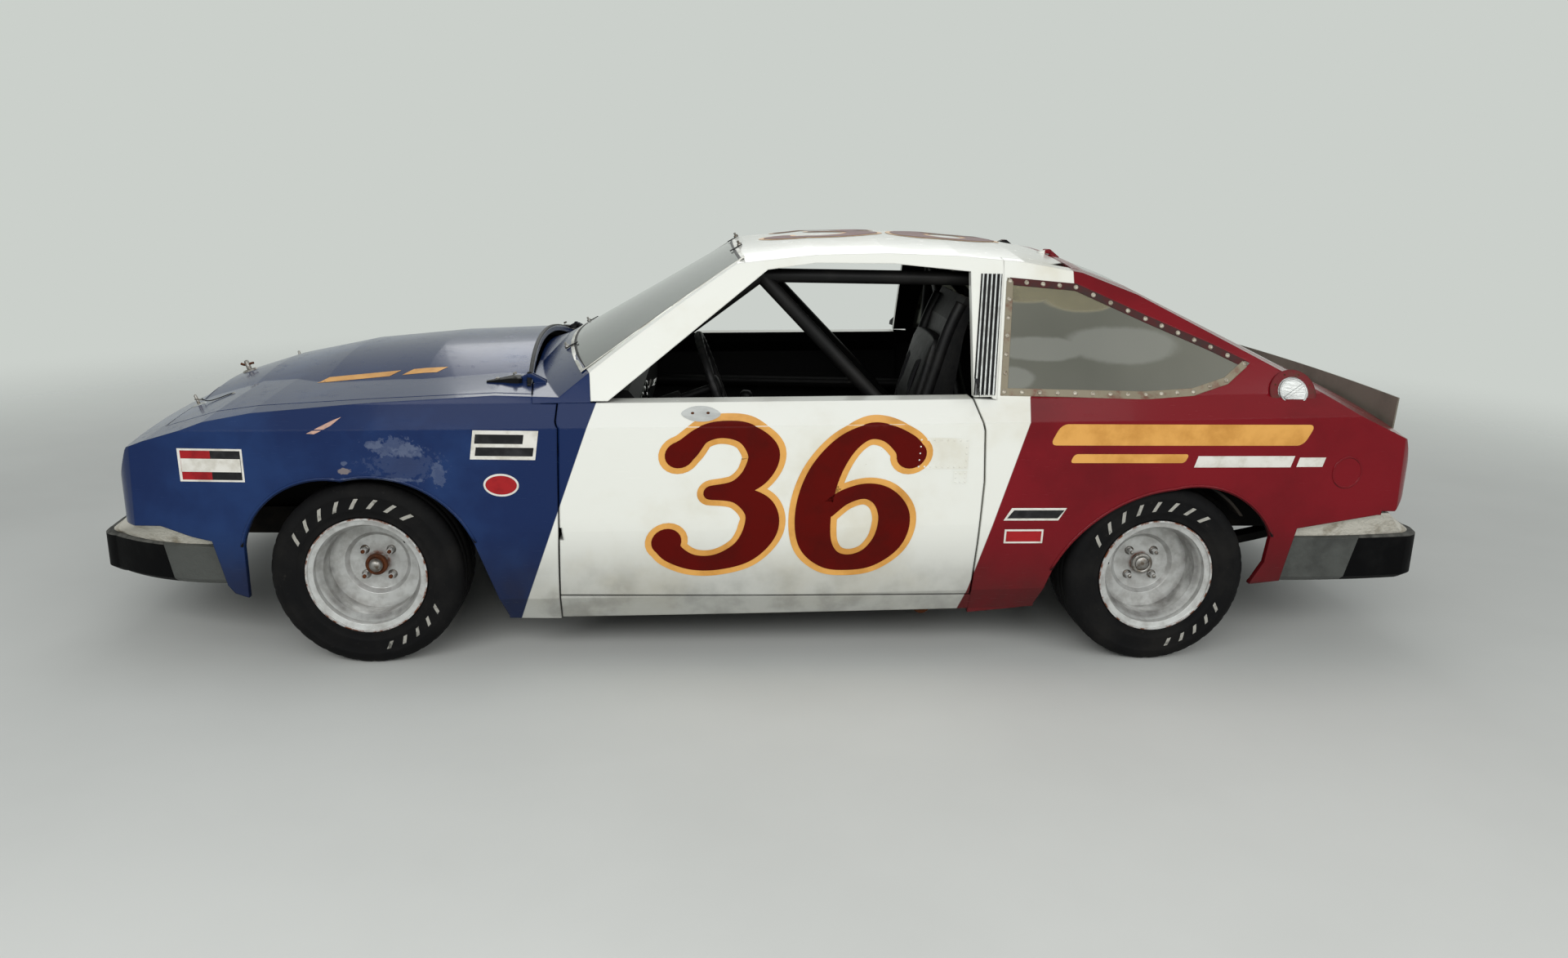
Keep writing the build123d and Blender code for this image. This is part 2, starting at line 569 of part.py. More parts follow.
# Front body post behind the fender, with the door hinge leaves
POST_X = 686
POST_DEPTH = 60
POST_Y = 800
POST_WIDTH = 72
POST_LOW_Z = 235
POST_HEIGHT = 520
HINGE_LEAF = [(-4, 0), (4, 0), (16, -44), (58, -44), (58, -52), (8, -52)]
with BuildPart() as hinge_posts:
    with BuildSketch(Plane.XY.offset(POST_LOW_Z)):
        with Locations((POST_X + POST_DEPTH / 2, POST_Y)):
            Rectangle(POST_DEPTH, POST_WIDTH)
    extrude(amount=POST_HEIGHT)
    for z in HINGE_Z:
        with BuildSketch(Plane.XY.offset(z - HINGE_EYE_HALF)):
            with Locations((DOOR_AXIS_X, DOOR_AXIS_Y)):
                Circle(HINGE_EYE_R)
            with BuildLine():
                Polyline(*[(DOOR_AXIS_X + x, DOOR_AXIS_Y + y) for x, y in HINGE_LEAF], close=True)
            make_face()
        extrude(amount=2 * HINGE_EYE_HALF)
        with BuildSketch(Plane.XY.offset(z - HINGE_EYE_HALF)):
            with Locations((DOOR_AXIS_X, DOOR_AXIS_Y)):
                Circle(HINGE_PIN_R + HINGE_CLEARANCE)
        extrude(amount=2 * HINGE_EYE_HALF, mode=Mode.SUBTRACT)
    mirror(about=Plane.XZ)

# Sills below the doors
SILL_WALL = 90
SILL_FRONT_X = DOOR_AXIS_X + DOOR_EDGE_R
with BuildPart() as sills:
    add(side_outer)
    add(side_form(SILL_WALL), mode=Mode.SUBTRACT)
    add(side_prism([(SILL_FRONT_X, 145), (SILL_FRONT_X, 226), (-601, 226), (-601, 171)], near=500),
        mode=Mode.INTERSECT)
    mirror(about=Plane.XZ)

# Hatch frame and glass
HATCH_GLASS = [(-985, 520), (-1800, 600), (-1800, -600), (-985, -520)]
with BuildPart() as hatch:
    add(skin.part)
    add(plan_prism([(HATCH_FRONT_X, HATCH_FRONT_Y - SEAM), (HATCH_REAR_X, HATCH_REAR_Y - SEAM),
                    (HATCH_REAR_X, -HATCH_REAR_Y + SEAM), (HATCH_FRONT_X, -HATCH_FRONT_Y + SEAM)], low=700),
        mode=Mode.INTERSECT)
    add(plan_prism(HATCH_GLASS, low=700), mode=Mode.SUBTRACT)
    add(lid_lugs(HATCH_AXIS_X, HATCH_AXIS_Z, HATCH_HINGE_Y, HATCH_AXIS_X - 40, 1228))
with BuildPart() as hatch_glass:
    add(crown_form(ROOF_LINE, CROWN_R_ROOF, 2))
    add(crown_form(ROOF_LINE, CROWN_R_ROOF, 2 + GLASS_WALL), mode=Mode.SUBTRACT)
    add(plan_prism(HATCH_GLASS, low=700), mode=Mode.INTERSECT)

with BuildPart() as tail_panel:
    add(skin.part)
    add(plan_prism([(HATCH_REAR_X - SEAM, HATCH_REAR_Y), (HATCH_REAR_X - SEAM, -HATCH_REAR_Y),
                    (-2300, -HATCH_REAR_Y), (-2300, HATCH_REAR_Y)], low=TAIL_BOTTOM_Z), mode=Mode.INTERSECT)

# Wheels: tyre, rim and slotted disc, one set for each corner
AXLES = {"front": FRONT_AXLE_X, "rear": REAR_AXLE_X}
HUB_Z = TYRE_R
RIM_OUTER_Y = TRACK_HALF + RIM_HALF_WIDTH
RIM_INNER_Y = TRACK_HALF - RIM_HALF_WIDTH
RIM_SIDE = [(RIM_LIP_R, RIM_OUTER_Y), (RIM_LIP_R, RIM_OUTER_Y - 5), (RIM_BEAD_R, RIM_OUTER_Y - 9),
            (RIM_BEAD_R, RIM_OUTER_Y - 9 - RIM_BEAD_WIDTH), (RIM_WELL_R, RIM_OUTER_Y - 52),
            (RIM_WELL_R, RIM_INNER_Y + 60), (RIM_BEAD_R, RIM_INNER_Y + 9 + RIM_BEAD_WIDTH),
            (RIM_BEAD_R, RIM_INNER_Y + 9), (RIM_LIP_R, RIM_INNER_Y + 5), (RIM_LIP_R, RIM_INNER_Y)]
TYRE_SEAT_R = RIM_BEAD_R + WHEEL_SEAT_GAP


def across(x, y, out):
    """Upright plane along the car at hub height, facing its left (1) or right (-1)."""
    return Plane(origin=(x, y, HUB_Z), x_dir=(1, 0, 0), z_dir=(0, out, 0))



def tyre_at(axle_x, side):
    """Tyre on its rim, revolved about the wheel's axis."""
    with BuildPart() as tyre:
        with BuildSketch(Plane(origin=(axle_x, 0, HUB_Z), x_dir=(1, 0, 0), z_dir=(0, 0, 1))):
            with BuildLine():
                for flip in (1, -1):
                    bead = TRACK_HALF + flip * (RIM_HALF_WIDTH - 10)
                    lip = TRACK_HALF + flip * (RIM_HALF_WIDTH - 5)
                    bulge = TRACK_HALF + flip * TYRE_HALF_WIDTH
                    shoulder = TRACK_HALF + flip * TYRE_SHOULDER_HALF
                    tread = TRACK_HALF + flip * TYRE_TREAD_HALF
                    Line((TYRE_SEAT_R, side * bead), (RIM_LIP_R + 2, side * lip))
                    ThreePointArc((RIM_LIP_R + 2, side * lip), (TYRE_BULGE_R, side * bulge),
                                  (TYRE_SHOULDER_R, side * shoulder))
                    Line((TYRE_SHOULDER_R, side * shoulder), (TYRE_R, side * tread))
                Line((TYRE_R, side * (TRACK_HALF + TYRE_TREAD_HALF)),
                     (TYRE_R, side * (TRACK_HALF - TYRE_TREAD_HALF)))
                Line((TYRE_SEAT_R, side * (TRACK_HALF + RIM_HALF_WIDTH - 10)),
                     (TYRE_SEAT_R, side * (TRACK_HALF - RIM_HALF_WIDTH + 10)))
            make_face()
        revolve(axis=Axis((axle_x, 0, HUB_Z), (0, 1, 0)))
    return tyre


def wheel_at(axle_x, side, cap_r, cap_length):
    """Rim barrel with a dished, slotted disc, centre plate, lugs and cap."""
    hub = Plane(origin=(axle_x, side * HUB_FACE_Y, HUB_Z), x_dir=(side, 0, 0), z_dir=(0, side, 0))
    with BuildPart() as wheel:
        with BuildSketch(Plane(origin=(axle_x, 0, HUB_Z), x_dir=(1, 0, 0), z_dir=(0, 0, 1))):
            with BuildLine():
                outside = [(r, side * y) for r, y in RIM_SIDE]
                inside = [(r - RIM_WALL, side * y) for r, y in reversed(RIM_SIDE)]
                Polyline(*outside, *inside, close=True)
            make_face()
            with BuildLine():
                Polyline((HUB_CAP_R - 4, side * HUB_FACE_Y), (HUB_PLATE_R, side * HUB_FACE_Y),
                         (HUB_PLATE_R + 12, side * (HUB_FACE_Y + 14)), (DISC_R - 4, side * (HUB_FACE_Y + 20)),
                         (DISC_R - 4, side * (HUB_FACE_Y + 20 + DISC_WALL)),
                         (HUB_PLATE_R + 8, side * (HUB_FACE_Y + 14 + DISC_WALL)),
                         (HUB_PLATE_R - 4, side * (HUB_FACE_Y + DISC_WALL)),
                         (HUB_CAP_R - 4, side * (HUB_FACE_Y + DISC_WALL)), close=True)
            make_face()
        revolve(axis=Axis((axle_x, 0, HUB_Z), (0, 1, 0)))
        with BuildSketch(hub):
            with PolarLocations(0, WHEEL_SLOTS, start_angle=90):
                SlotArc(CenterArc((0, 0), WHEEL_SLOT_R, -WHEEL_SLOT_ARC / 2, WHEEL_SLOT_ARC),
                        WHEEL_SLOT_WIDTH)
        extrude(amount=60, mode=Mode.SUBTRACT)
        with BuildSketch(hub.offset(DISC_WALL)):
            with PolarLocations(LUG_PCD / 2, LUG_COUNT, start_angle=45):
                RegularPolygon(LUG_R, 6)
        extrude(amount=LUG_LENGTH)
        with BuildSketch(hub.offset(DISC_WALL - 1)):
            Circle(cap_r)
            Circle(HUB_CAP_R - 8, mode=Mode.SUBTRACT)
        extrude(amount=cap_length)
    return wheel


REAR_CAP_LENGTH = 18
CAP_LENGTHS = {"front": HUB_CAP_LENGTH, "rear": REAR_CAP_LENGTH}
corners = {}
for end, axle_x in AXLES.items():
    for name, side in (("left", 1), ("right", -1)):
        corners[f"tyre_{end}_{name}"] = tyre_at(axle_x, side)
        corners[f"wheel_{end}_{name}"] = wheel_at(axle_x, side, HUB_CAP_R, CAP_LENGTHS[end])

# Front knuckle with its brake disc, spindle and ball pins on the kingpin axis
KINGPIN_Y = 682
BALL_SPREAD = 105
BALL_PIN_R = 9
ARM_EYE_R = 17
ARM_EYE_HALF = 9
BALL_PIN_END = 5
BRAKE_R = 128
BRAKE_WALL = 18
BRAKE_INSET = 4
HUB_R = 70
HUB_OVERHANG = 12
KNUCKLE_POST = (44, 30)
STEER_ARM_Z = HUB_Z - 30
STEER_ARM_WALL = 20
STEER_ARM = [(-20, -10), (-130, -40), (-130, -70), (10, -14)]
SPINDLE_R = HUB_CAP_R - 9
SPINDLE_LENGTH = HUB_CAP_LENGTH + 14
with BuildPart() as knuckle_left:
    with BuildSketch(across(FRONT_AXLE_X, HUB_FACE_Y - FIT_GAP, -1)):
        Circle(HUB_R)
    extrude(amount=HUB_FACE_Y - KINGPIN_Y + HUB_OVERHANG)
    with BuildSketch(across(FRONT_AXLE_X, HUB_FACE_Y - FIT_GAP - BRAKE_INSET, -1)):
        Circle(BRAKE_R)
    extrude(amount=BRAKE_WALL)
    with BuildSketch(across(FRONT_AXLE_X, HUB_FACE_Y - FIT_GAP, 1)):
        Circle(SPINDLE_R)
    extrude(amount=SPINDLE_LENGTH)
    with BuildSketch(Plane.XY.offset(HUB_Z - BALL_SPREAD + ARM_EYE_HALF + FIT_GAP)):
        with Locations((FRONT_AXLE_X, KINGPIN_Y)):
            Rectangle(*KNUCKLE_POST)
    extrude(amount=2 * (BALL_SPREAD - ARM_EYE_HALF - FIT_GAP))
    with BuildSketch(Plane.XY.offset(HUB_Z - BALL_SPREAD - ARM_EYE_HALF - BALL_PIN_END)):
        with Locations((FRONT_AXLE_X, KINGPIN_Y)):
            Circle(BALL_PIN_R)
    extrude(amount=2 * (BALL_SPREAD + ARM_EYE_HALF + BALL_PIN_END))
    with BuildSketch(Plane.XY.offset(STEER_ARM_Z)):
        with BuildLine():
            Polyline(*[(FRONT_AXLE_X + x, KINGPIN_Y + y) for x, y in STEER_ARM], close=True)
        make_face()
    extrude(amount=STEER_ARM_WALL)
with BuildPart() as knuckle_right:
    mirror(knuckle_left.part, about=Plane.XZ)

# Front frame rails, crossmember and control arms
RAIL_Y_MID = 440
RAIL_WIDTH = 70
RAIL_LOW_Z = 300
RAIL_HEIGHT = 90
RAIL_FRONT_X = 1960
CROSSMEMBER = [(-90, 190), (90, 190), (70, RAIL_LOW_Z), (-70, RAIL_LOW_Z)]
ARM_TOWER_LENGTH = 150
ARM_TOWER_HEIGHT = 90
FLOOR_Z = 196
FLOOR_WALL = 12
FIREWALL_X = 700
FIREWALL_WALL = 14
with BuildPart() as front_rails:
    with BuildSketch(Plane.YZ.offset(FIREWALL_X + FIREWALL_WALL)):
        with Locations((RAIL_Y_MID, RAIL_LOW_Z + RAIL_HEIGHT / 2)):
            Rectangle(RAIL_WIDTH, RAIL_HEIGHT)
    extrude(amount=RAIL_FRONT_X - FIREWALL_X - FIREWALL_WALL)
    mirror(about=Plane.XZ)
    with BuildSketch(Plane.XZ.offset(-RAIL_Y_MID - RAIL_WIDTH / 2)):
        with BuildLine():
            Polyline(*[(FRONT_AXLE_X + x, z) for x, z in CROSSMEMBER], close=True)
        make_face()
    extrude(amount=2 * RAIL_Y_MID + RAIL_WIDTH)
    with BuildSketch(Plane.XY.offset(RAIL_LOW_Z + RAIL_HEIGHT)):
        with Locations((FRONT_AXLE_X, RAIL_Y_MID), (FRONT_AXLE_X, -RAIL_Y_MID)):
            Rectangle(ARM_TOWER_LENGTH, RAIL_WIDTH)
    extrude(amount=ARM_TOWER_HEIGHT)
with BuildPart() as control_arms:
    for z, root_y, spread in ((HUB_Z - BALL_SPREAD, RAIL_Y_MID + RAIL_WIDTH / 2, 70),
                              (HUB_Z + BALL_SPREAD, RAIL_Y_MID + RAIL_WIDTH / 2, 60)):
        with BuildSketch(Plane.XY.offset(z - ARM_EYE_HALF)):
            with Locations((FRONT_AXLE_X, KINGPIN_Y)):
                Circle(ARM_EYE_R)
            with BuildLine():
                Polyline((FRONT_AXLE_X - 14, KINGPIN_Y - 12), (FRONT_AXLE_X - spread, root_y),
                         (FRONT_AXLE_X - spread + 28, root_y), (FRONT_AXLE_X, KINGPIN_Y - 60),
                         (FRONT_AXLE_X + spread - 28, root_y), (FRONT_AXLE_X + spread, root_y),
                         (FRONT_AXLE_X + 14, KINGPIN_Y - 12), close=True)
            make_face()
            with Locations((FRONT_AXLE_X, KINGPIN_Y)):
                Circle(BALL_PIN_R + FIT_GAP, mode=Mode.SUBTRACT)
        extrude(amount=2 * ARM_EYE_HALF)
    mirror(about=Plane.XZ)

# Rear axle with drums, leaf springs and propeller shaft
AXLE_TUBE_R = 38
DIFF_R = 120
DRUM_R = 125
DRUM_DEPTH = 60
SPRING_WIDTH = 60
SPRING_WALL = 28
with BuildPart() as rear_axle:
    with BuildSketch(across(REAR_AXLE_X, HUB_FACE_Y - FIT_GAP, -1)):
        Circle(DRUM_R)
    extrude(amount=DRUM_DEPTH)
    with BuildSketch(across(REAR_AXLE_X, HUB_FACE_Y, -1)):
        Circle(AXLE_TUBE_R)
    extrude(amount=HUB_FACE_Y + 1)
    mirror(about=Plane.XZ)
    for side in (1, -1):
        with BuildSketch(across(REAR_AXLE_X, side * (HUB_FACE_Y - FIT_GAP - 1), side)):
            Circle(SPINDLE_R)
        extrude(amount=HUB_CAP_LENGTH)
    with Locations((REAR_AXLE_X, 0, HUB_Z)):
        Sphere(DIFF_R)
SPRING_FRONT_REACH = 314
SPRING_REAR_REACH = 600
REAR_RAIL_LOW_Z = 331
with BuildPart() as leaf_springs:
    saddle_z = HUB_Z - AXLE_TUBE_R - FIT_GAP
    eye_z = REAR_RAIL_LOW_Z - FIT_GAP
    with BuildSketch(Plane.XZ.offset(-RAIL_Y_MID - SPRING_WIDTH / 2)):
        with BuildLine():
            for reach in (SPRING_FRONT_REACH, -SPRING_REAR_REACH):
                for drop in (0, SPRING_WALL):
                    TangentArc((REAR_AXLE_X, saddle_z - drop), (REAR_AXLE_X + reach, eye_z - drop),
                               tangent=(math.copysign(1, reach), 0))
                Line((REAR_AXLE_X + reach, eye_z), (REAR_AXLE_X + reach, eye_z - SPRING_WALL))
        make_face()
    extrude(amount=SPRING_WIDTH)
    mirror(about=Plane.XZ)
SHAFT_R = 36
GEARBOX_REAR_X = 430
with BuildPart() as propeller_shaft:
    with BuildSketch(Plane.YZ.offset(REAR_AXLE_X + DIFF_R + FIT_GAP)):
        with Locations((0, HUB_Z)):
            Circle(SHAFT_R)
    extrude(amount=GEARBOX_REAR_X - FIT_GAP - REAR_AXLE_X - DIFF_R - FIT_GAP)

# Floor pan with tunnel, rear floor and firewall
FLOOR_HALF = 800
TUNNEL_HALF = 150
TUNNEL_TOP_HALF = 120
TUNNEL_Z = 400
FLOOR_REAR_X = -760
REAR_FLOOR_Z = 470
REAR_FLOOR_X = -1880
REAR_FLOOR_HALF = 600
FLOOR_RISE_RUN = 96
FIREWALL_HALF = POST_Y - POST_WIDTH / 2 - FIT_GAP
FIREWALL_TOP_Z = BELT_Z + 80
UNDER_Z = FLOOR_Z - FLOOR_WALL
tunnel_under = [(-TUNNEL_HALF, UNDER_Z), (-TUNNEL_TOP_HALF, TUNNEL_Z - FLOOR_WALL),
                (TUNNEL_TOP_HALF, TUNNEL_Z - FLOOR_WALL), (TUNNEL_HALF, UNDER_Z)]
tunnel_over = [(TUNNEL_HALF + FLOOR_WALL, FLOOR_Z), (TUNNEL_TOP_HALF + FLOOR_WALL, TUNNEL_Z),
               (-TUNNEL_TOP_HALF - FLOOR_WALL, TUNNEL_Z), (-TUNNEL_HALF - FLOOR_WALL, FLOOR_Z)]
between_left = side_form(SILL_WALL + FIT_GAP)
between_right = mirror(between_left, about=Plane.XZ)
with BuildPart() as floor_pan:
    with BuildSketch(Plane.YZ.offset(FLOOR_REAR_X)):
        with BuildLine():
            Polyline((-FLOOR_HALF, UNDER_Z), *tunnel_under, (FLOOR_HALF, UNDER_Z), (FLOOR_HALF, FLOOR_Z),
                     *tunnel_over, (-FLOOR_HALF, FLOOR_Z), close=True)
        make_face()
    extrude(amount=FIREWALL_X - FLOOR_REAR_X)
    add(between_left, mode=Mode.INTERSECT)
    add(between_right, mode=Mode.INTERSECT)
    with BuildSketch(Plane.XZ.offset(-REAR_FLOOR_HALF)):
        with BuildLine():
            Polyline((FLOOR_REAR_X, UNDER_Z), (FLOOR_REAR_X, FLOOR_Z),
                     (FLOOR_REAR_X - FLOOR_RISE_RUN, REAR_FLOOR_Z + FLOOR_WALL),
                     (REAR_FLOOR_X, REAR_FLOOR_Z + FLOOR_WALL), (REAR_FLOOR_X, REAR_FLOOR_Z),
                     (FLOOR_REAR_X - FLOOR_RISE_RUN - FLOOR_WALL, REAR_FLOOR_Z),
                     (FLOOR_REAR_X - FLOOR_WALL, UNDER_Z), close=True)
        make_face()
    extrude(amount=2 * REAR_FLOOR_HALF)
    with BuildSketch(Plane.YZ.offset(FLOOR_REAR_X)):
        with Locations((0, UNDER_Z)):
            Rectangle(2 * TUNNEL_TOP_HALF, 2 * (TUNNEL_Z - FLOOR_Z))
    extrude(amount=-200, mode=Mode.SUBTRACT)
with BuildPart() as firewall:
    with BuildSketch(Plane.YZ.offset(FIREWALL_X)):
        with BuildLine():
            Polyline((-FIREWALL_HALF, UNDER_Z), *tunnel_under, (FIREWALL_HALF, UNDER_Z),
                     (FIREWALL_HALF, FIREWALL_TOP_Z), (-FIREWALL_HALF, FIREWALL_TOP_Z), close=True)
        make_face()
    extrude(amount=FIREWALL_WALL)
    add(inner_low, mode=Mode.INTERSECT)

# Inner panels: aprons on the front rails, and tubs over the rear wheels
APRON_Y = 440
APRON_WALL = 8
APRON_REAR_X = FIREWALL_X + FIREWALL_WALL + FIT_GAP
APRON_LOW_Z = RAIL_LOW_Z + RAIL_HEIGHT + FIT_GAP
APRON_FRONT_X = 1790
APRON_SIDE = [(APRON_REAR_X, APRON_LOW_Z), (APRON_FRONT_X, APRON_LOW_Z), (APRON_FRONT_X, 600), (1700, 640),
              (1000, 690), (APRON_REAR_X, 700)]
TUB_R = 328
TUB_WALL = 8
TUB_Y = 592
with BuildPart() as wheelhouses:
    with BuildSketch(across(REAR_AXLE_X, TUB_Y, 1)):
        Circle(TUB_R)
    extrude(amount=FAR_HALF - TUB_Y)
    with BuildSketch(across(REAR_AXLE_X, TUB_Y + TUB_WALL, 1)):
        Circle(TUB_R - TUB_WALL)
    extrude(amount=FAR_HALF - TUB_Y, mode=Mode.SUBTRACT)
    with BuildSketch(Plane.XY.offset(REAR_FLOOR_Z + FLOOR_WALL + FIT_GAP)):
        Rectangle(2 * FAR, 2 * FAR)
    extrude(amount=ABOVE, mode=Mode.INTERSECT)
    add(inner, mode=Mode.INTERSECT)
    with BuildSketch(Plane.XZ.offset(-APRON_Y - APRON_WALL)):
        with BuildLine():
            Polyline(*APRON_SIDE, close=True)
        make_face()
    extrude(amount=APRON_WALL)
    add(front_rails.part, mode=Mode.SUBTRACT)
    mirror(about=Plane.XZ)

# Engine as one plain block, with its gearbox in the tunnel
ENGINE_REAR_X = 850
ENGINE_LENGTH = 560
ENGINE_WIDTH = 420
ENGINE_HEIGHT = 450
GEARBOX_FRONT = (190, 170)
GEARBOX_REAR = (130, 120)
with BuildPart() as engine:
    with BuildSketch(Plane.YZ.offset(ENGINE_REAR_X)):
        with Locations((0, RAIL_LOW_Z + FIT_GAP + ENGINE_HEIGHT / 2)):
            Rectangle(ENGINE_WIDTH, ENGINE_HEIGHT)
    extrude(amount=ENGINE_LENGTH)
    with BuildSketch(Plane.YZ.offset(ENGINE_REAR_X)):
        with Locations((0, HUB_Z + 6)):
            Rectangle(*GEARBOX_FRONT)
    with BuildSketch(Plane.YZ.offset(GEARBOX_REAR_X)):
        with Locations((0, HUB_Z)):
            Rectangle(*GEARBOX_REAR)
    loft(ruled=True)


# Bumpers: tip x on the middle line, then plan points of the left end: corner start, middle and end, side
# middle and end. The rubber faces and the end caps part on leaning lines (x, z).
FRONT_BAR = (HALF_LENGTH, (2106, 640), (2088, 686), (2050, 709), (1880, 797), (1650, 826))
FRONT_BAR_LOW_Z = 243
FRONT_BAR_HIGH_Z = 370
FRONT_CAP_LINE = [(1898, 500), (1804, 100)]
REAR_BAR = (-HALF_LENGTH, (-2098, 690), (-2088, 765), (-2040, 800), (-1850, 822), (-1590, 829))
REAR_BAR_LOW_Z = 253
REAR_BAR_HIGH_Z = 405
REAR_CAP_LINE = [(-1892, 500), (-1786, 100)]
BAR_DEPTH = 62
BAR_CHAMFER = 16
BAR_TOP_CHAMFER = 7
# Riveted filler strips between the bumpers' tops and the body: outline below, outline above
FRONT_FILLER_LOW = (2124, (2086, 640), (2064, 680), (2032, 702), (1870, 792), (1700, 818))
FRONT_FILLER_HIGH = (2041, (1980, 735), (1956, 806), (1905, 860), (1800, 864), (1700, 866))
REAR_FILLER_LOW = (-2124, (-2080, 690), (-2066, 752), (-2026, 786), (-1850, 812), (-1600, 820))
REAR_FILLER_HIGH = (-1984, (-1957, 690), (-1950, 780), (-1936, 850), (-1850, 853), (-1600, 856))
REAR_FILLER_TOP_Z = 490
FILLER_WALL = 8


def bar_face(rows, z, inset, back):
    """Plan outline of a bumper or filler, inset from its outer edge and closed at x = back."""
    out = math.copysign(1, rows[0])
    tip = rows[0] - out * inset
    start, corner, end, middle, last = [(x - out * inset, y - inset) for x, y in rows[1:]]
    with BuildSketch(Plane.XY.offset(z)) as face:
        with BuildLine():
            ThreePointArc(start, (tip, 0), (start[0], -start[1]))
            ThreePointArc((start[0], -start[1]), (corner[0], -corner[1]), (end[0], -end[1]))
            ThreePointArc((end[0], -end[1]), (middle[0], -middle[1]), (back, -last[1]))
            Line((back, -last[1]), (back, last[1]))
            ThreePointArc((back, last[1]), middle, end)
            ThreePointArc(end, corner, start)
        make_face()
    return face.sketch


def bumper_bar(rows, low, high):
    """Bumper following the car's end in plan, with its lower and upper edges chamfered."""
    back = rows[-1][0]
    levels = [(low, BAR_CHAMFER), (low + BAR_CHAMFER, 0), (high - BAR_TOP_CHAMFER, 0),
              (high, BAR_TOP_CHAMFER)]
    with BuildPart() as bar:
        for (z_low, inset_low), (z_high, inset_high) in zip(levels, levels[1:]):
            loft([bar_face(rows, z_low, inset_low, back), bar_face(rows, z_high, inset_high, back)],
                 ruled=True)
        add(bar_face(rows, low, BAR_DEPTH, back - math.copysign(10, rows[0])))
        extrude(amount=high - low, mode=Mode.SUBTRACT)
    return bar.part


def filler_strip(low_rows, low_z, high_rows, high_z):
    """Sheet wall leaning between two plan outlines."""
    back = low_rows[-1][0]
    beyond = back - math.copysign(10, low_rows[0])
    with BuildPart() as strip:
        loft([bar_face(low_rows, low_z, 0, back), bar_face(high_rows, high_z, 0, back)], ruled=True)
        loft([bar_face(low_rows, low_z, FILLER_WALL, beyond),
              bar_face(high_rows, high_z, FILLER_WALL, beyond)], ruled=True, mode=Mode.SUBTRACT)
    return strip.part


def cap_prism(line, reach, gap):
    """Everything between a cap line and x = reach, across the whole car."""
    return side_prism([(line[0][0] + gap, line[0][1]), (line[1][0] + gap, line[1][1]), (reach, line[1][1]),
                       (reach, line[0][1])], near=-1100)


front_bar = bumper_bar(FRONT_BAR, FRONT_BAR_LOW_Z, FRONT_BAR_HIGH_Z)
rear_bar = bumper_bar(REAR_BAR, REAR_BAR_LOW_Z, REAR_BAR_HIGH_Z)
with BuildPart() as front_bumper:
    add(front_bar)
    add(cap_prism(FRONT_CAP_LINE, FAR, 0), mode=Mode.INTERSECT)
with BuildPart() as rear_bumper:
    add(rear_bar)
    add(cap_prism(REAR_CAP_LINE, -FAR, 0), mode=Mode.INTERSECT)
with BuildPart() as bumper_caps:
    add(front_bar)
    add(rear_bar)
    add(cap_prism(FRONT_CAP_LINE, FAR, -FIT_GAP), mode=Mode.SUBTRACT)
    add(cap_prism(REAR_CAP_LINE, -FAR, FIT_GAP), mode=Mode.SUBTRACT)
with BuildPart() as bumper_fillers:
    add(filler_strip(REAR_FILLER_LOW, REAR_BAR_HIGH_Z + FIT_GAP, REAR_FILLER_HIGH, REAR_FILLER_TOP_Z))
    add(filler_strip(FRONT_FILLER_LOW, FRONT_BAR_HIGH_Z + FIT_GAP,
                     FRONT_FILLER_HIGH, NOSE_BOTTOM_Z - FIT_GAP))
    for panel in (fender_left, fender_right, quarter_left, quarter_right, tail_panel):
        add(panel.part, mode=Mode.SUBTRACT)

# Frame rails carry the springs, fuel cell and bumpers
REAR_RAIL_X = -1790
REAR_RAIL_LENGTH = 920
TOW_X = 2000
TOW_BORE_R = 12
IRON_WIDTH = 50
IRON_HEIGHT = 60
FRONT_IRON_REACH = 140
REAR_IRON_REACH = 310
REAR_RAIL_WIDTH = 60
with BuildPart() as frame_rails:
    add(front_rails.part)
    for x, reach in ((RAIL_FRONT_X, FRONT_IRON_REACH), (REAR_RAIL_X, -REAR_IRON_REACH)):
        with BuildSketch(Plane.YZ.offset(x)):
            with Locations((RAIL_Y_MID, RAIL_LOW_Z), (-RAIL_Y_MID, RAIL_LOW_Z)):
                Rectangle(IRON_WIDTH, IRON_HEIGHT, align=(Align.CENTER, Align.MIN))
        extrude(amount=reach)
    with BuildSketch(Plane.YZ.offset(REAR_RAIL_X)):
        with Locations((RAIL_Y_MID, REAR_RAIL_LOW_Z), (-RAIL_Y_MID, REAR_RAIL_LOW_Z)):
            Rectangle(REAR_RAIL_WIDTH, REAR_FLOOR_Z - FIT_GAP - REAR_RAIL_LOW_Z,
                      align=(Align.CENTER, Align.MIN))
    extrude(amount=REAR_RAIL_LENGTH)
    add(front_bumper.part, mode=Mode.SUBTRACT)
    add(rear_bumper.part, mode=Mode.SUBTRACT)
    with BuildSketch(Plane.XY.offset(RAIL_LOW_Z)):
        with GridLocations(2 * TOW_X, 2 * RAIL_Y_MID, 2, 2):
            Circle(TOW_BORE_R)
    extrude(amount=IRON_HEIGHT, mode=Mode.SUBTRACT)
FUEL_CELL = (380, 560, 260)
FUEL_CELL_X = -1600
FUEL_CELL_EDGE_R = 20
with BuildPart() as fuel_cell:
    with Locations((FUEL_CELL_X, 0, REAR_FLOOR_Z + FLOOR_WALL)):
        Box(*FUEL_CELL, align=(Align.CENTER, Align.CENTER, Align.MIN))
    fillet(fuel_cell.edges(), radius=FUEL_CELL_EDGE_R)
EXHAUST_R = 30
EXHAUST_Y = 230
EXHAUST_Z = 150
EXHAUST_TURN_X = -470
EXHAUST_LENGTH = 1300
EXHAUST_REACH = 527
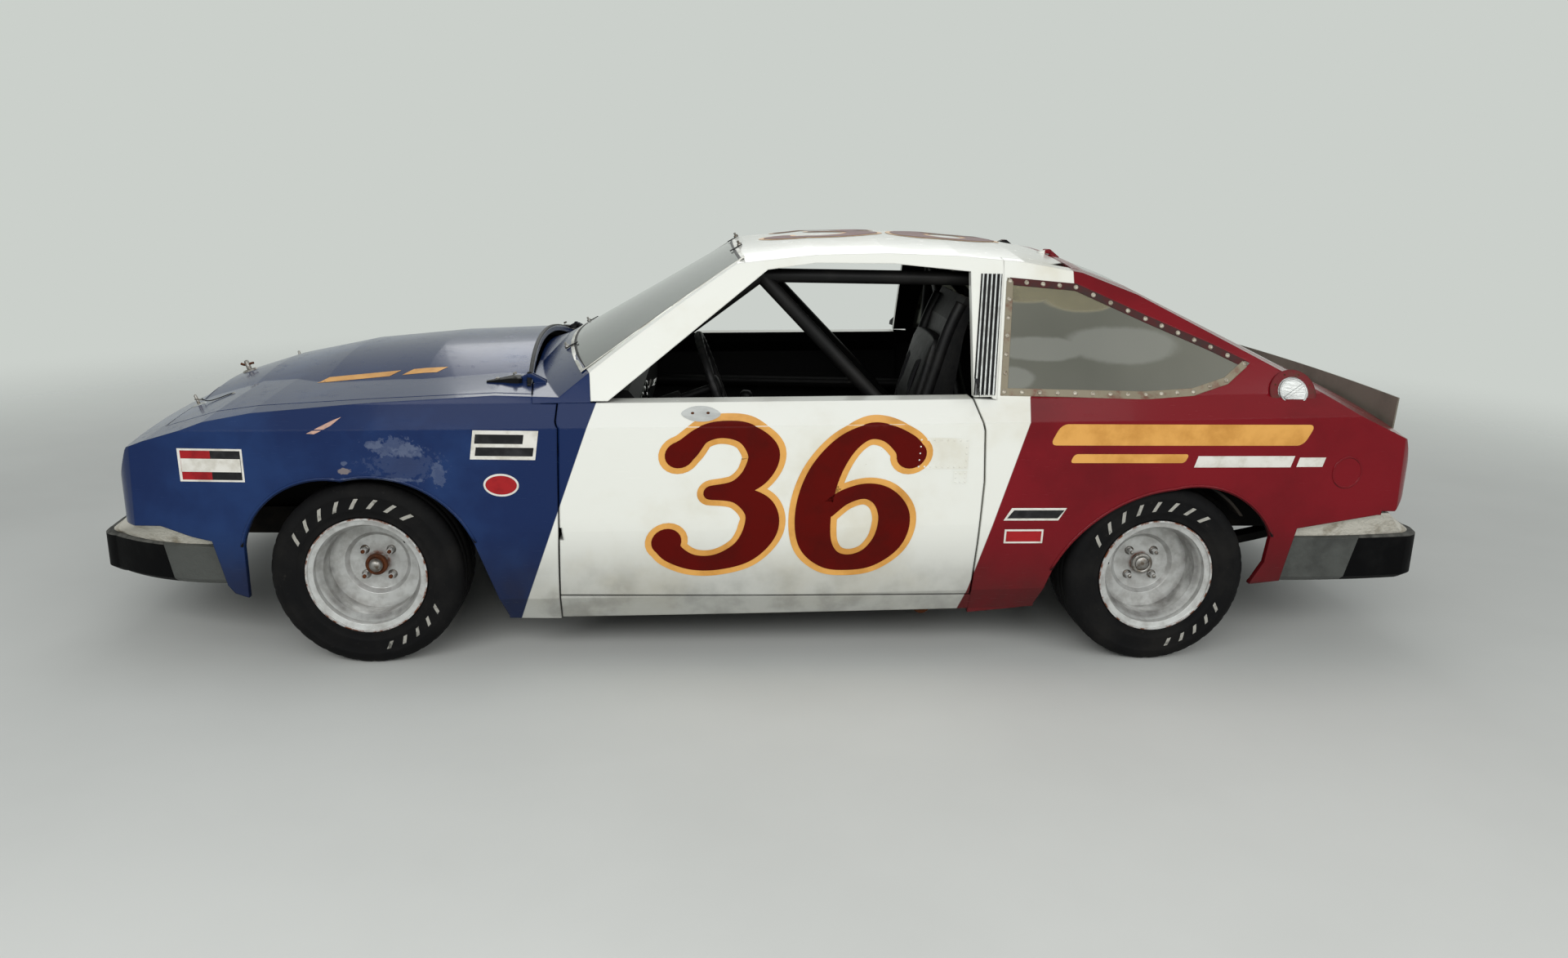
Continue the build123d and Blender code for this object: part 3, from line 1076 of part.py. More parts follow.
with BuildPart() as exhaust:
    with BuildSketch(Plane.YZ.offset(EXHAUST_TURN_X - EXHAUST_R)):
        with Locations((EXHAUST_Y, EXHAUST_Z)):
            Circle(EXHAUST_R)
    extrude(amount=EXHAUST_LENGTH)
    with BuildSketch(Plane.XZ.offset(-EXHAUST_Y)):
        with Locations((EXHAUST_TURN_X, EXHAUST_Z)):
            Circle(EXHAUST_R)
    extrude(amount=-EXHAUST_REACH)

# Roll cage of straight tubes, welded where they meet: start, end
TUBE_R = 22
WELD_R = 25
CAGE_Y = 560
HOOP_X = -690
HOOP_Z = 1180
CAGE_FRONT_X = 60
CAGE_FOOT_X = 600
CAGE_FOOT_Y = 700
CAGE_SINK = 20
DASH_BAR_X = 560
DASH_BAR_Z = 820
DOOR_BAR_Z = (420, 630)
STAY_FOOT_X = -1420
CAGE_TUBES = [
    ((HOOP_X, CAGE_FOOT_Y, FLOOR_Z - CAGE_SINK), (HOOP_X, CAGE_Y, HOOP_Z)),
    ((HOOP_X, CAGE_Y, HOOP_Z), (CAGE_FRONT_X, CAGE_Y, HOOP_Z)),
    ((CAGE_FRONT_X, CAGE_Y, HOOP_Z), (DASH_BAR_X, CAGE_FOOT_Y, DASH_BAR_Z)),
    ((CAGE_FOOT_X, CAGE_FOOT_Y, FLOOR_Z - CAGE_SINK), (DASH_BAR_X, CAGE_FOOT_Y, DASH_BAR_Z)),
    ((STAY_FOOT_X, CAGE_Y - 60, REAR_FLOOR_Z - CAGE_SINK), (HOOP_X, CAGE_Y, HOOP_Z)),
    ((CAGE_FRONT_X, CAGE_Y, HOOP_Z), (HOOP_X, CAGE_FOOT_Y - 30, DOOR_BAR_Z[0])),
    ((HOOP_X, CAGE_FOOT_Y - 30, DOOR_BAR_Z[0]), (CAGE_FOOT_X - 15, CAGE_FOOT_Y, DOOR_BAR_Z[0])),
    ((HOOP_X, CAGE_FOOT_Y - 60, DOOR_BAR_Z[1]), (CAGE_FOOT_X - 28, CAGE_FOOT_Y, DOOR_BAR_Z[1])),
]
CAGE_CROSS = [(HOOP_X, CAGE_Y, HOOP_Z), (CAGE_FRONT_X, CAGE_Y, HOOP_Z), (DASH_BAR_X, CAGE_FOOT_Y, DASH_BAR_Z)]


def tube(start, end, radius):
    """Round bar between two points."""
    line = Vector(*end) - Vector(*start)
    with BuildPart() as bar:
        with BuildSketch(Plane(origin=start, z_dir=line)):
            Circle(radius)
        extrude(amount=line.length)
    return bar.part


def weld(x, y, z):
    """Round weld where tubes meet."""
    with BuildPart() as bead:
        with Locations((x, y, z)):
            Sphere(WELD_R)
    return bead.part


with BuildPart() as roll_cage:
    for start, end in CAGE_TUBES:
        for side in (1, -1):
            add(tube((start[0], side * start[1], start[2]), (end[0], side * end[1], end[2]), TUBE_R))
            add(weld(end[0], side * end[1], end[2]))
    for x, y, z in CAGE_CROSS:
        add(tube((x, -y, z), (x, y, z), TUBE_R))
    add(tube((HOOP_X, CAGE_FOOT_Y - 30, DOOR_BAR_Z[0]), (HOOP_X, -CAGE_Y, HOOP_Z), TUBE_R))
    for x, length, foot_z in ((0, 1500, FLOOR_Z), (STAY_FOOT_X, 300, REAR_FLOOR_Z + FLOOR_WALL)):
        with BuildSketch(Plane.XY.offset(foot_z)):
            with Locations((x, 0)):
                Rectangle(length, 3 * FAR_HALF)
        extrude(amount=-100, mode=Mode.SUBTRACT)

# Bucket seat, dashboard, steering column and wheel
SEAT_Y = 365
SEAT_HALF = 200
SEAT_SIDE_WALL = 30
SEAT_SIDE = [(-60, 196), (-60, 420), (-20, 440), (-30, 470), (-400, 430), (-560, 1040), (-600, 1120),
             (-630, 1110), (-600, 1000), (-520, 400), (-500, 196)]
SEAT_BUCKET = [(40, 600), (-60, 380), (-380, 380), (-520, 900), (-400, 900)]
with BuildPart() as seat:
    with BuildSketch(Plane.XZ.offset(-SEAT_Y - SEAT_HALF)):
        with BuildLine():
            Polyline(*SEAT_SIDE, close=True)
        make_face()
    extrude(amount=2 * SEAT_HALF)
    with BuildSketch(Plane.XZ.offset(-SEAT_Y - SEAT_HALF + SEAT_SIDE_WALL)):
        with BuildLine():
            Polyline(*SEAT_BUCKET, close=True)
        make_face()
    extrude(amount=2 * (SEAT_HALF - SEAT_SIDE_WALL), mode=Mode.SUBTRACT)
DASH_REAR_X = 440
DASH_FRONT_X = DASH_BAR_X - TUBE_R - FIT_GAP
DASH_HALF = 670
DASH_SIDE = [(DASH_REAR_X, 640), (DASH_REAR_X, 790), (DASH_REAR_X + 30, 826), (DASH_FRONT_X - 10, 838),
             (DASH_FRONT_X, 838), (DASH_FRONT_X, 640)]
with BuildPart() as dashboard:
    with BuildSketch(Plane.XZ.offset(-DASH_HALF)):
        with BuildLine():
            Polyline(*DASH_SIDE, close=True)
        make_face()
    extrude(amount=2 * DASH_HALF)
STEER_AXIS_DIR = (-0.94, 0, 0.34)
STEER_CENTRE = (195, SEAT_Y, 790)
STEER_R = 180
STEER_GRIP_R = 13
STEER_HUB_R = 45
STEER_SPOKES = (0, 120, 240)
STEER_SPOKE_WIDTH = 28
STEER_SPOKE_WALL = 8
STEER_SPOKE_DROP = 6
STEER_SHAFT_R = 14
STEER_SHAFT_LENGTH = 120
COLUMN_R = 28
COLUMN_LENGTH = 200
steer_plane = Plane(origin=STEER_CENTRE, x_dir=(0, 1, 0), z_dir=STEER_AXIS_DIR)
rim_plane = Plane(origin=STEER_CENTRE, x_dir=(0, 1, 0), z_dir=Vector(0, 1, 0).cross(Vector(*STEER_AXIS_DIR)))
with BuildPart() as steering_wheel:
    with BuildSketch(rim_plane):
        with Locations((STEER_R, 0)):
            Circle(STEER_GRIP_R)
    revolve(axis=Axis(STEER_CENTRE, STEER_AXIS_DIR))
    with BuildSketch(steer_plane.offset(-STEER_SPOKE_DROP)):
        Circle(STEER_HUB_R)
        for angle in STEER_SPOKES:
            with Locations(Location((0, 0, 0), (0, 0, angle + 90))):
                with Locations((STEER_R / 2, 0)):
                    Rectangle(STEER_R, STEER_SPOKE_WIDTH)
    extrude(amount=STEER_SPOKE_WALL)
    with BuildSketch(steer_plane.offset(-STEER_SPOKE_DROP)):
        Circle(STEER_SHAFT_R)
    extrude(amount=-STEER_SHAFT_LENGTH)
with BuildPart() as steering_column:
    with BuildSketch(steer_plane.offset(-STEER_SPOKE_DROP - STEER_SHAFT_LENGTH - FIT_GAP)):
        Circle(COLUMN_R)
    extrude(amount=-COLUMN_LENGTH)
    split(bisect_by=Plane.YZ.offset(DASH_REAR_X - FIT_GAP), keep=Keep.BOTTOM)

# Spoiler blade on the tail's rear edge, bowed like it; then fuel filler, lamps and pillar trims
SPOILER_LINE = [(1996, 600), (2010, 900)]
SPOILER_TOP_Z = 841
SPOILER_FOOT_Z = 700
SPOILER_WALL = 5
SPOILER_HALF = 740
with BuildPart() as spoiler:
    add(end_cutter(SPOILER_LINE, TAIL_X, TAIL_BOW_R, -1, 0))
    add(end_cutter(SPOILER_LINE, TAIL_X, TAIL_BOW_R, -1, -SPOILER_WALL), mode=Mode.SUBTRACT)
    with BuildSketch(Plane.XY.offset(SPOILER_FOOT_Z)):
        Rectangle(2 * FAR, 2 * SPOILER_HALF)
    extrude(amount=SPOILER_TOP_Z - SPOILER_FOOT_Z, mode=Mode.INTERSECT)
    add(outer, mode=Mode.SUBTRACT)
FILLER_X = -1590
FILLER_R = 44
FILLER_Z = 866
FILLER_RING_R = 72
filler_plane = Plane(origin=(FILLER_X, 803, FILLER_Z), x_dir=(1, 0, 0), z_dir=(0, 0.905, 0.425))
with BuildPart() as fuel_filler:
    with BuildSketch(filler_plane.offset(2)):
        Circle(FILLER_R)
    extrude(amount=7)
    with BuildSketch(filler_plane.offset(9)):
        with Locations(Location((0, 0, 0), (0, 0, 35))):
            Rectangle(2 * FILLER_R - 10, 8)
    extrude(amount=5)
    with BuildSketch(filler_plane.offset(2)):
        Circle(FILLER_RING_R)
        Circle(FILLER_R + 3, mode=Mode.SUBTRACT)
    extrude(amount=3)
    with BuildSketch(filler_plane.offset(2)):
        Circle(FILLER_R + 6)
    extrude(amount=-120)
    add(quarter_left.part, mode=Mode.SUBTRACT)

# Ribbed trims on the pillars between the windows
TRIM_RIBS = 5
TRIM_WALL = 4
TRIM_FRONT = [(-582, 852), (-622, 1204)]
TRIM_REAR = [(-650, 852), (-689, 1204)]
with BuildPart() as pillar_trims:
    add(side_form(-TRIM_WALL))
    add(side_outer, mode=Mode.SUBTRACT)
    with BuildSketch(Plane.XZ.offset(-1100)):
        for rib in range(TRIM_RIBS):
            ends = []
            for share in ((rib + 0.12) / TRIM_RIBS, (rib + 0.88) / TRIM_RIBS):
                ends.append([(front[0] + share * (rear[0] - front[0]), front[1])
                             for front, rear in zip(TRIM_FRONT, TRIM_REAR)])
            with BuildLine():
                Polyline(ends[0][0], ends[1][0], ends[1][1], ends[0][1], close=True)
            make_face()
    extrude(amount=700, mode=Mode.INTERSECT)
    mirror(about=Plane.XZ)

# Grille bars, lamp blanks and tail lamps
GRILLE_BARS = 6
GRILLE_DEPTH = 18
LAMP_BLANK_WALL = 6
TAIL_LAMP_WALL = 10
TAIL_LAMP = (300, 100)
TAIL_LAMP_Y = 520
TAIL_LAMP_Z = 625
nose_whole = [(NOSE_X, BELOW)] + NOSE_LINE
with BuildPart() as grille:
    add(end_cutter(nose_whole, NOSE_X, NOSE_BOW_R, 1, FENDER_WALL + FIT_GAP + GRILLE_DEPTH))
    add(end_cutter(nose_whole, NOSE_X, NOSE_BOW_R, 1, FENDER_WALL + FIT_GAP), mode=Mode.SUBTRACT)
    with BuildSketch(Plane.YZ.offset(1700)):
        height = GRILLE_HIGH_Z - GRILLE_LOW_Z
        with Locations((0, GRILLE_LOW_Z + height / 2)):
            with GridLocations(0, height / GRILLE_BARS, 1, GRILLE_BARS):
                Rectangle(2 * GRILLE_HALF + 30, 8)
            with GridLocations(GRILLE_HALF, 0, 3, 1):
                Rectangle(14, height)
    extrude(amount=600, mode=Mode.INTERSECT)
with BuildPart() as lamp_blanks:
    add(end_cutter(nose_whole, NOSE_X, NOSE_BOW_R, 1, FENDER_WALL + FIT_GAP + LAMP_BLANK_WALL))
    add(end_cutter(nose_whole, NOSE_X, NOSE_BOW_R, 1, FENDER_WALL + FIT_GAP), mode=Mode.SUBTRACT)
    with BuildSketch(Plane.YZ.offset(1700)):
        with Locations(((LAMP_IN_Y + LAMP_OUT_Y) / 2, (GRILLE_LOW_Z + GRILLE_HIGH_Z) / 2),
                       (-(LAMP_IN_Y + LAMP_OUT_Y) / 2, (GRILLE_LOW_Z + GRILLE_HIGH_Z) / 2)):
            Rectangle(LAMP_OUT_Y - LAMP_IN_Y + 24, GRILLE_HIGH_Z - GRILLE_LOW_Z + 24)
    extrude(amount=600, mode=Mode.INTERSECT)
tail_whole = [(TAIL_LINE[0][0], BELOW)] + TAIL_LINE
with BuildPart() as tail_lamps:
    add(end_cutter(tail_whole, TAIL_X, TAIL_BOW_R, -1, -FIT_GAP))
    add(end_cutter(tail_whole, TAIL_X, TAIL_BOW_R, -1, -FIT_GAP - TAIL_LAMP_WALL), mode=Mode.SUBTRACT)
    with BuildSketch(Plane.YZ.offset(-2100)):
        with Locations((TAIL_LAMP_Y, TAIL_LAMP_Z), (-TAIL_LAMP_Y, TAIL_LAMP_Z)):
            Rectangle(*TAIL_LAMP)
    extrude(amount=300, mode=Mode.INTERSECT)


pieces = {
    "hood": hood, "fender_left": fender_left, "fender_right": fender_right, "nose_panel": nose_panel,
    "grille": grille, "lamp_blanks": lamp_blanks, "cowl": cowl, "roof": roof, "windscreen": windscreen,
    "quarter_left": quarter_left, "quarter_right": quarter_right, "quarter_glass_left": quarter_glass_left,
    "quarter_glass_right": quarter_glass_right, "door_left": door_left, "door_right": door_right,
    "hinge_posts": hinge_posts, "sills": sills, "hatch": hatch, "hatch_glass": hatch_glass,
    "tail_panel": tail_panel, "tail_lamps": tail_lamps, "spoiler": spoiler, "fuel_filler": fuel_filler,
    "pillar_trims": pillar_trims, "front_bumper": front_bumper, "rear_bumper": rear_bumper,
    "bumper_caps": bumper_caps, "bumper_fillers": bumper_fillers, "floor_pan": floor_pan,
    "firewall": firewall, "wheelhouses": wheelhouses, "frame_rails": frame_rails,
    "control_arms": control_arms, "knuckle_left": knuckle_left, "knuckle_right": knuckle_right,
    "rear_axle": rear_axle, "leaf_springs": leaf_springs, "propeller_shaft": propeller_shaft,
    "engine": engine, "fuel_cell": fuel_cell, "exhaust": exhaust, "roll_cage": roll_cage, "seat": seat,
    "dashboard": dashboard, "steering_wheel": steering_wheel, "steering_column": steering_column,
}
pieces.update(corners)
for label, piece in pieces.items():
    piece.part.label = label
    export_step(piece.part, f"parts/{label}.step")
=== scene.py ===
import math

import bmesh
import bpy
from mathutils import Matrix, Vector
from mathutils.bvhtree import BVHTree


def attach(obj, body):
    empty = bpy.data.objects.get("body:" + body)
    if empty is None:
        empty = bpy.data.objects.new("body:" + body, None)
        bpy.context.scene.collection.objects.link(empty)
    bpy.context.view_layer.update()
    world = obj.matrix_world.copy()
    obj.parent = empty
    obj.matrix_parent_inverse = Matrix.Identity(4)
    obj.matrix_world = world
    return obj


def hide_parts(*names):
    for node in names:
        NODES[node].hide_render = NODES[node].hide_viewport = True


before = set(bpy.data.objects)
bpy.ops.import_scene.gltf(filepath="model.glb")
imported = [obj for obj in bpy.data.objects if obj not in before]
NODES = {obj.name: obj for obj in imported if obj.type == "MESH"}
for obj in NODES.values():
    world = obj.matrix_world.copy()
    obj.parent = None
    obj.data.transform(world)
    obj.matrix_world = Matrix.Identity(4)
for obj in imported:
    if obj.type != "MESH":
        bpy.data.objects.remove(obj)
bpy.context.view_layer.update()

SIDES = ((1, "left"), (-1, "right"))
FORWARD, LEFTWARD, UPWARD = Vector((1, 0, 0)), Vector((0, 1, 0)), Vector((0, 0, 1))

# Camera of the photograph, in the car's frame
CAMERA_PLACE = (0.216, 4.2387, 1.4802)
CAMERA_RIGHT = (-0.997924, 0.060756, 0.021334)
CAMERA_UP = (0.005217, -0.253929, 0.967209)
CAMERA_LENS = 26.49
SENSOR_WIDTH = 36.0

# Axles and wheels
WHEELBASE = 2.4384
FRONT_X = 1.249
REAR_X = FRONT_X - WHEELBASE
HUB_Z = 0.288
TRACK_Y = 0.763


def linked(thing):
    bpy.context.scene.collection.objects.link(thing)
    return thing


def set_camera():
    camera = linked(bpy.data.objects.new("camera", bpy.data.cameras.new("camera")))
    right = Vector(CAMERA_RIGHT).normalized()
    up = Vector(CAMERA_UP)
    up = (up - right * up.dot(right)).normalized()
    turn = Matrix((right, up, right.cross(up))).transposed()
    camera.matrix_world = Matrix.Translation(CAMERA_PLACE) @ turn.to_4x4()
    camera.data.sensor_fit = "HORIZONTAL"
    camera.data.sensor_width = SENSOR_WIDTH
    camera.data.lens = CAMERA_LENS
    camera.data.clip_start = 0.05
    camera.data.clip_end = 200
    bpy.context.scene.camera = camera


# Material graphs
COAT_ROUGH = 0.05
COAT_IOR = 1.35
SHEET_IOR = 1.45


def srgb(red, green, blue):
    """A colour as the eye sees it, 0 to 255, as linear values."""
    linear = [share / 12.92 if share <= 0.04045 else ((share + 0.055) / 1.055) ** 2.4
              for share in (red / 255, green / 255, blue / 255)]
    return (*linear, 1.0)


class Graph:
    """A material with one principled shader, built by short calls. Colours are given 0 to 255."""

    def __init__(self, name, rough=0.5, metal=0.0, coat=0.0, specular=0.5):
        self.material = bpy.data.materials.new(name)
        self.material.use_nodes = True
        self.tree = self.material.node_tree
        self.shader = self.tree.nodes["Principled BSDF"]
        for socket, value in (("Roughness", rough), ("Metallic", metal), ("Coat Weight", coat),
                              ("Coat Roughness", COAT_ROUGH), ("Coat IOR", COAT_IOR),
                              ("Specular IOR Level", specular)):
            self.give(socket, value)
        place = self.node("TexCoord")
        self.place = place.outputs["Object"]
        self.x, self.y, self.z = self.node("SeparateXYZ", self.place).outputs
        _, self.facing_y, self.facing_z = self.node("SeparateXYZ", place.outputs["Normal"]).outputs

    def put(self, socket, value):
        """Sets a socket to a number or colour, or links it."""
        if isinstance(value, bpy.types.NodeSocket):
            self.tree.links.new(value, socket)
        else:
            socket.default_value = srgb(*value) if isinstance(value, tuple) else value

    def give(self, socket, value):
        """Sets or links one of the shader's own sockets."""
        self.put(self.shader.inputs[socket], value)

    def node(self, kind, *values):
        node = self.tree.nodes.new("ShaderNode" + kind)
        for socket, value in zip(node.inputs, values):
            self.put(socket, value)
        return node

    def math(self, operation, *values):
        node = self.node("Math", *values)
        node.operation = operation
        return node.outputs[0]

    def plus(self, first, second):
        return self.math("ADD", first, second)

    def minus(self, first, second):
        return self.math("SUBTRACT", first, second)

    def times(self, first, second):
        return self.math("MULTIPLY", first, second)

    def most(self, first, second):
        return self.math("MAXIMUM", first, second)

    def far(self, first, second):
        """Length of the arrow with these two sides."""
        return self.math("SQRT", self.plus(self.times(first, first), self.times(second, second)))

    def noise(self, scale, detail=4.0, rough=0.55, stretch=None, shift=None):
        source = self.place
        if stretch or shift:
            mapping = self.node("Mapping", source)
            mapping.inputs["Scale"].default_value = stretch or (1, 1, 1)
            mapping.inputs["Location"].default_value = shift or (0, 0, 0)
            source = mapping.outputs[0]
        node = self.node("TexNoise", source)
        for socket, value in (("Scale", scale), ("Detail", detail), ("Roughness", rough)):
            node.inputs[socket].default_value = value
        return node.outputs[0]

    def step(self, value, low, high):
        """0 below low, 1 above high, smooth between. Low may be above high."""
        turned = low > high
        node = self.node("MapRange", value, min(low, high), max(low, high), float(turned), float(not turned))
        node.interpolation_type = "SMOOTHSTEP"
        return node.outputs[0]

    def mix(self, share, first, second):
        """Colour between first and second."""
        node = self.node("Mix", share)
        node.data_type = "RGBA"
        self.put(node.inputs[6], first)
        self.put(node.inputs[7], second)
        return node.outputs[2]

    def blend(self, share, first, second):
        """Number between first and second."""
        node = self.node("Mix", share)
        self.put(node.inputs[2], first)
        self.put(node.inputs[3], second)
        return node.outputs[0]

    def spot(self, x, z, reach_x, reach_z, ragged, scale):
        """Ragged patch round a point of the side view."""
        across = self.math("DIVIDE", self.minus(self.x, x), reach_x)
        along = self.math("DIVIDE", self.minus(self.z, z), reach_z)
        rough = self.times(self.minus(self.noise(scale, 6.0, 0.65), 0.5), ragged * 4)
        return self.step(self.plus(self.far(across, along), rough), 1.0, 0.75)

    def inside(self):
        """1 on faces that look in towards the cabin or down, 0 on the outer skin."""
        inward = self.times(self.facing_y, self.math("SIGN", self.y))
        return self.most(self.step(inward, -0.15, -0.3), self.step(self.facing_z, -0.4, -0.55))

    def bump(self, height, strength, distance, edge=None):
        """Height in the surface. An edge radius also rounds the corners."""
        node = self.node("Bump")
        for socket, value in (("Strength", strength), ("Distance", distance), ("Height", height)):
            self.put(node.inputs[socket], value)
        if edge:
            bevel = self.node("Bevel", edge)
            bevel.samples = 4
            self.put(node.inputs["Normal"], bevel.outputs[0])
        self.give("Normal", node.outputs[0])

    def colour(self, value):
        self.give("Base Color", value)

    def rough(self, value):
        self.give("Roughness", value)


# Paint: fresh and aged colour, and where the noise turns one into the other
CREAM, CREAM_AGED = (230, 231, 223), (216, 213, 198)
PAINTS = {"blue": ((16, 37, 80), (28, 54, 100), (0.42, 0.68)),
          "cream": (CREAM, CREAM_AGED, (0.45, 0.72)),
          "red": ((118, 12, 24), (98, 8, 18), (0.4, 0.7))}
PAINT_ZONES = {"paint_blue": ("blue",), "paint_fender": ("blue", "cream"), "paint_roof": ("cream", "red"),
               "paint_door": ("blue", "cream", "red"), "paint_red": ("red",)}
PRIMER, RUST, GRIME = (150, 138, 128), (104, 56, 28), (52, 46, 40)
INSIDE_BLACK = (12, 12, 12)

# Painted shade on the lower body, darker towards the bottom: heights between which it grows, its strength and
# colour
LOW_SHADE_HEIGHTS = (0.5, 0.2)
LOW_SHADE_SHARE = 0.42
LOW_SHADE_COLOUR = (28, 26, 24)

# Paint boundaries in the side view: x at height zero, and how far forward it moves per metre up
BLUE_LINE = (0.845, -0.3545)
RED_LINE = (-0.5176, -0.2857)
ROOF_RED_X = -0.915
SIDE_RED_TOP_Z = 1.0
LINE_SOFT = 0.0015

# Worn patches of the front fenders: x, z, reach along x, reach along z, raggedness, strength
SCUFF_HAZE = (108, 118, 140)
FENDER_SCUFFS = [
    (1.284, 0.62, 0.02, 0.01, 0.5, 0.6), (1.284, 0.642, 0.012, 0.008, 0.5, 0.45),
    (1.14, 0.694, 0.07, 0.03, 0.8, 0.3), (1.197, 0.702, 0.03, 0.014, 0.6, 0.35),
    (1.094, 0.684, 0.04, 0.024, 0.7, 0.32), (1.01, 0.612, 0.022, 0.04, 0.8, 0.28),
    (1.11, 0.64, 0.11, 0.05, 0.9, 0.14), (1.18, 0.594, 0.13, 0.007, 0.6, 0.35),
    (0.652, 0.295, 0.01, 0.045, 0.7, 0.35),
]


def paint(name, zones):
    """Aged gloss paint. Zones are the colours it may hold, from the front to the rear."""
    graph = Graph(name, rough=0.32, coat=0.15, specular=0.16)
    tone = graph.noise(2.1, 5.0, 0.6)
    shades = {zone: graph.mix(graph.step(tone, *span), *pair) for zone, (*pair, span) in PAINTS.items()}

    def leaning(foot, lean):
        return graph.plus(graph.times(graph.z, lean), foot)

    def behind(line):
        return graph.step(graph.minus(line, graph.x), -LINE_SOFT, LINE_SOFT)

    colour = shades[zones[0]]
    if zones[:2] == ("blue", "cream"):
        colour = graph.mix(behind(leaning(*BLUE_LINE)), colour, shades["cream"])
    if zones[-1] == "red" and len(zones) > 1:
        high = graph.step(graph.z, SIDE_RED_TOP_Z - 0.01, SIDE_RED_TOP_Z + 0.01)
        colour = graph.mix(behind(graph.blend(high, leaning(*RED_LINE), ROOF_RED_X)), colour, shades["red"])
    dust = graph.times(graph.step(graph.z, 0.42, 0.14), graph.step(graph.noise(9.0, 6.0), 0.38, 0.7))
    colour = graph.mix(graph.times(dust, 0.35), colour, GRIME)
    freckle = graph.step(graph.noise(130.0, 2.0, 0.5, shift=(5, 5, 5)), 0.735, 0.755)
    worn = graph.times(freckle, graph.step(graph.noise(3.4, 3.0, 0.5, shift=(9, 2, 4)), 0.56, 0.7))
    colour = graph.mix(graph.times(worn, 0.6), colour, RUST if "cream" in zones else PRIMER)
    if name == "paint_fender":
        for *place, share in FENDER_SCUFFS:
            patch = graph.times(graph.spot(*place, 60.0), share)
            colour = graph.mix(patch, colour, PRIMER if share > 0.5 else SCUFF_HAZE)
            worn = graph.most(worn, patch)
    # Painted shade: the paint grows darker towards the bottom of the body
    colour = graph.mix(graph.times(graph.step(graph.z, *LOW_SHADE_HEIGHTS), LOW_SHADE_SHARE), colour, LOW_SHADE_COLOUR)
    inside = graph.inside()
    graph.colour(graph.mix(inside, colour, INSIDE_BLACK))
    scratch = graph.step(graph.noise(14.0, 8.0, 0.7, stretch=(1, 1, 9)), 0.52, 0.78)
    wear = graph.plus(graph.times(scratch, 0.16), graph.times(graph.most(worn, inside), 0.4))
    graph.rough(graph.plus(0.2, wear))
    peel = graph.plus(graph.times(graph.noise(60.0, 4.0, 0.6, shift=(3, 1, 2)), 0.08), tone)
    graph.bump(peel, 0.22, 0.006, edge=0.007)
    return graph.material


ROUGH_SPREAD = 0.15


def plain(name, colour, other, rough=0.5, metal=0.0, scale=20.0, bump=0.15, depth=0.001, coat=0.0,
          share=(0.4, 0.7), edge=None, stretch=None, specular=0.2):
    """Two-tone surface with noise in its colour, gloss and height."""
    graph = Graph(name, rough, metal, coat, specular)
    tone = graph.noise(scale, 6.0, 0.6, stretch=stretch)
    graph.colour(graph.mix(graph.step(tone, *share), colour, other))
    graph.rough(graph.plus(rough - ROUGH_SPREAD / 2, graph.times(graph.noise(scale * 2.3), ROUGH_SPREAD)))
    graph.bump(graph.noise(scale * 6, 3.0, 0.6, stretch=stretch), bump, depth, edge)
    return graph.material


def screen_glass():
    """Clear sheet with dust on it."""
    graph = Graph("screen_glass", rough=0.02)
    graph.give("IOR", SHEET_IOR)
    haze = graph.plus(0.34, graph.times(graph.step(graph.noise(1.4, 3.0, 0.5), 0.36, 0.68), 0.12))
    graph.colour(graph.mix(haze, (176, 182, 176), (118, 122, 116)))
    graph.give("Transmission Weight", graph.minus(1.0, haze))
    graph.rough(graph.plus(0.02, graph.times(haze, 0.2)))
    graph.bump(graph.noise(3.0, 2.0), 0.04, 0.002)
    return graph.material


# Patches of the quarter window: x, z, reach along x, reach along z
SHEET_CLEAR = [(-0.76, 1.165, 0.15, 0.05), (-0.93, 1.135, 0.13, 0.045)]
SHEET_PALE = [(-0.8, 0.985, 0.17, 0.04), (-1.05, 1.000, 0.2, 0.06), (-0.7, 0.9, 0.09, 0.04)]


def smoky_sheet():
    """Clear sheet gone smoky, with clearer yellowed patches at its upper front and paler streaks."""
    graph = Graph("quarter_sheet", rough=0.06, specular=0.3)
    graph.give("IOR", SHEET_IOR)
    cloud = graph.noise(1.6, 3.0, 0.45, shift=(3, 1, 5))
    colour = graph.mix(graph.step(cloud, 0.2, 0.8), (104, 105, 96), (136, 136, 124))

    def cover(patches, ragged):
        share = 0.0
        for patch in patches:
            share = graph.most(share, graph.spot(*patch, ragged, 3.0))
        return share

    clear = cover(SHEET_CLEAR, 0.12)
    colour = graph.mix(graph.times(cover(SHEET_PALE, 0.2), 0.45), colour, (178, 180, 172))
    graph.colour(graph.mix(clear, colour, (214, 206, 174)))
    graph.give("Transmission Weight", graph.plus(0.42, graph.times(clear, 0.4)))
    graph.rough(graph.plus(0.1, graph.times(cloud, 0.12)))
    graph.bump(graph.noise(3.0, 2.0), 0.05, 0.002)
    return graph.material


# Ribs of the pillar trim: front edge at its foot, how it leans, its width backwards
RIB_FRONT = (-0.582, 0.852)
RIB_LEAN = -0.04 / 0.352
RIB_SPAN = -0.068
RIBS = 5


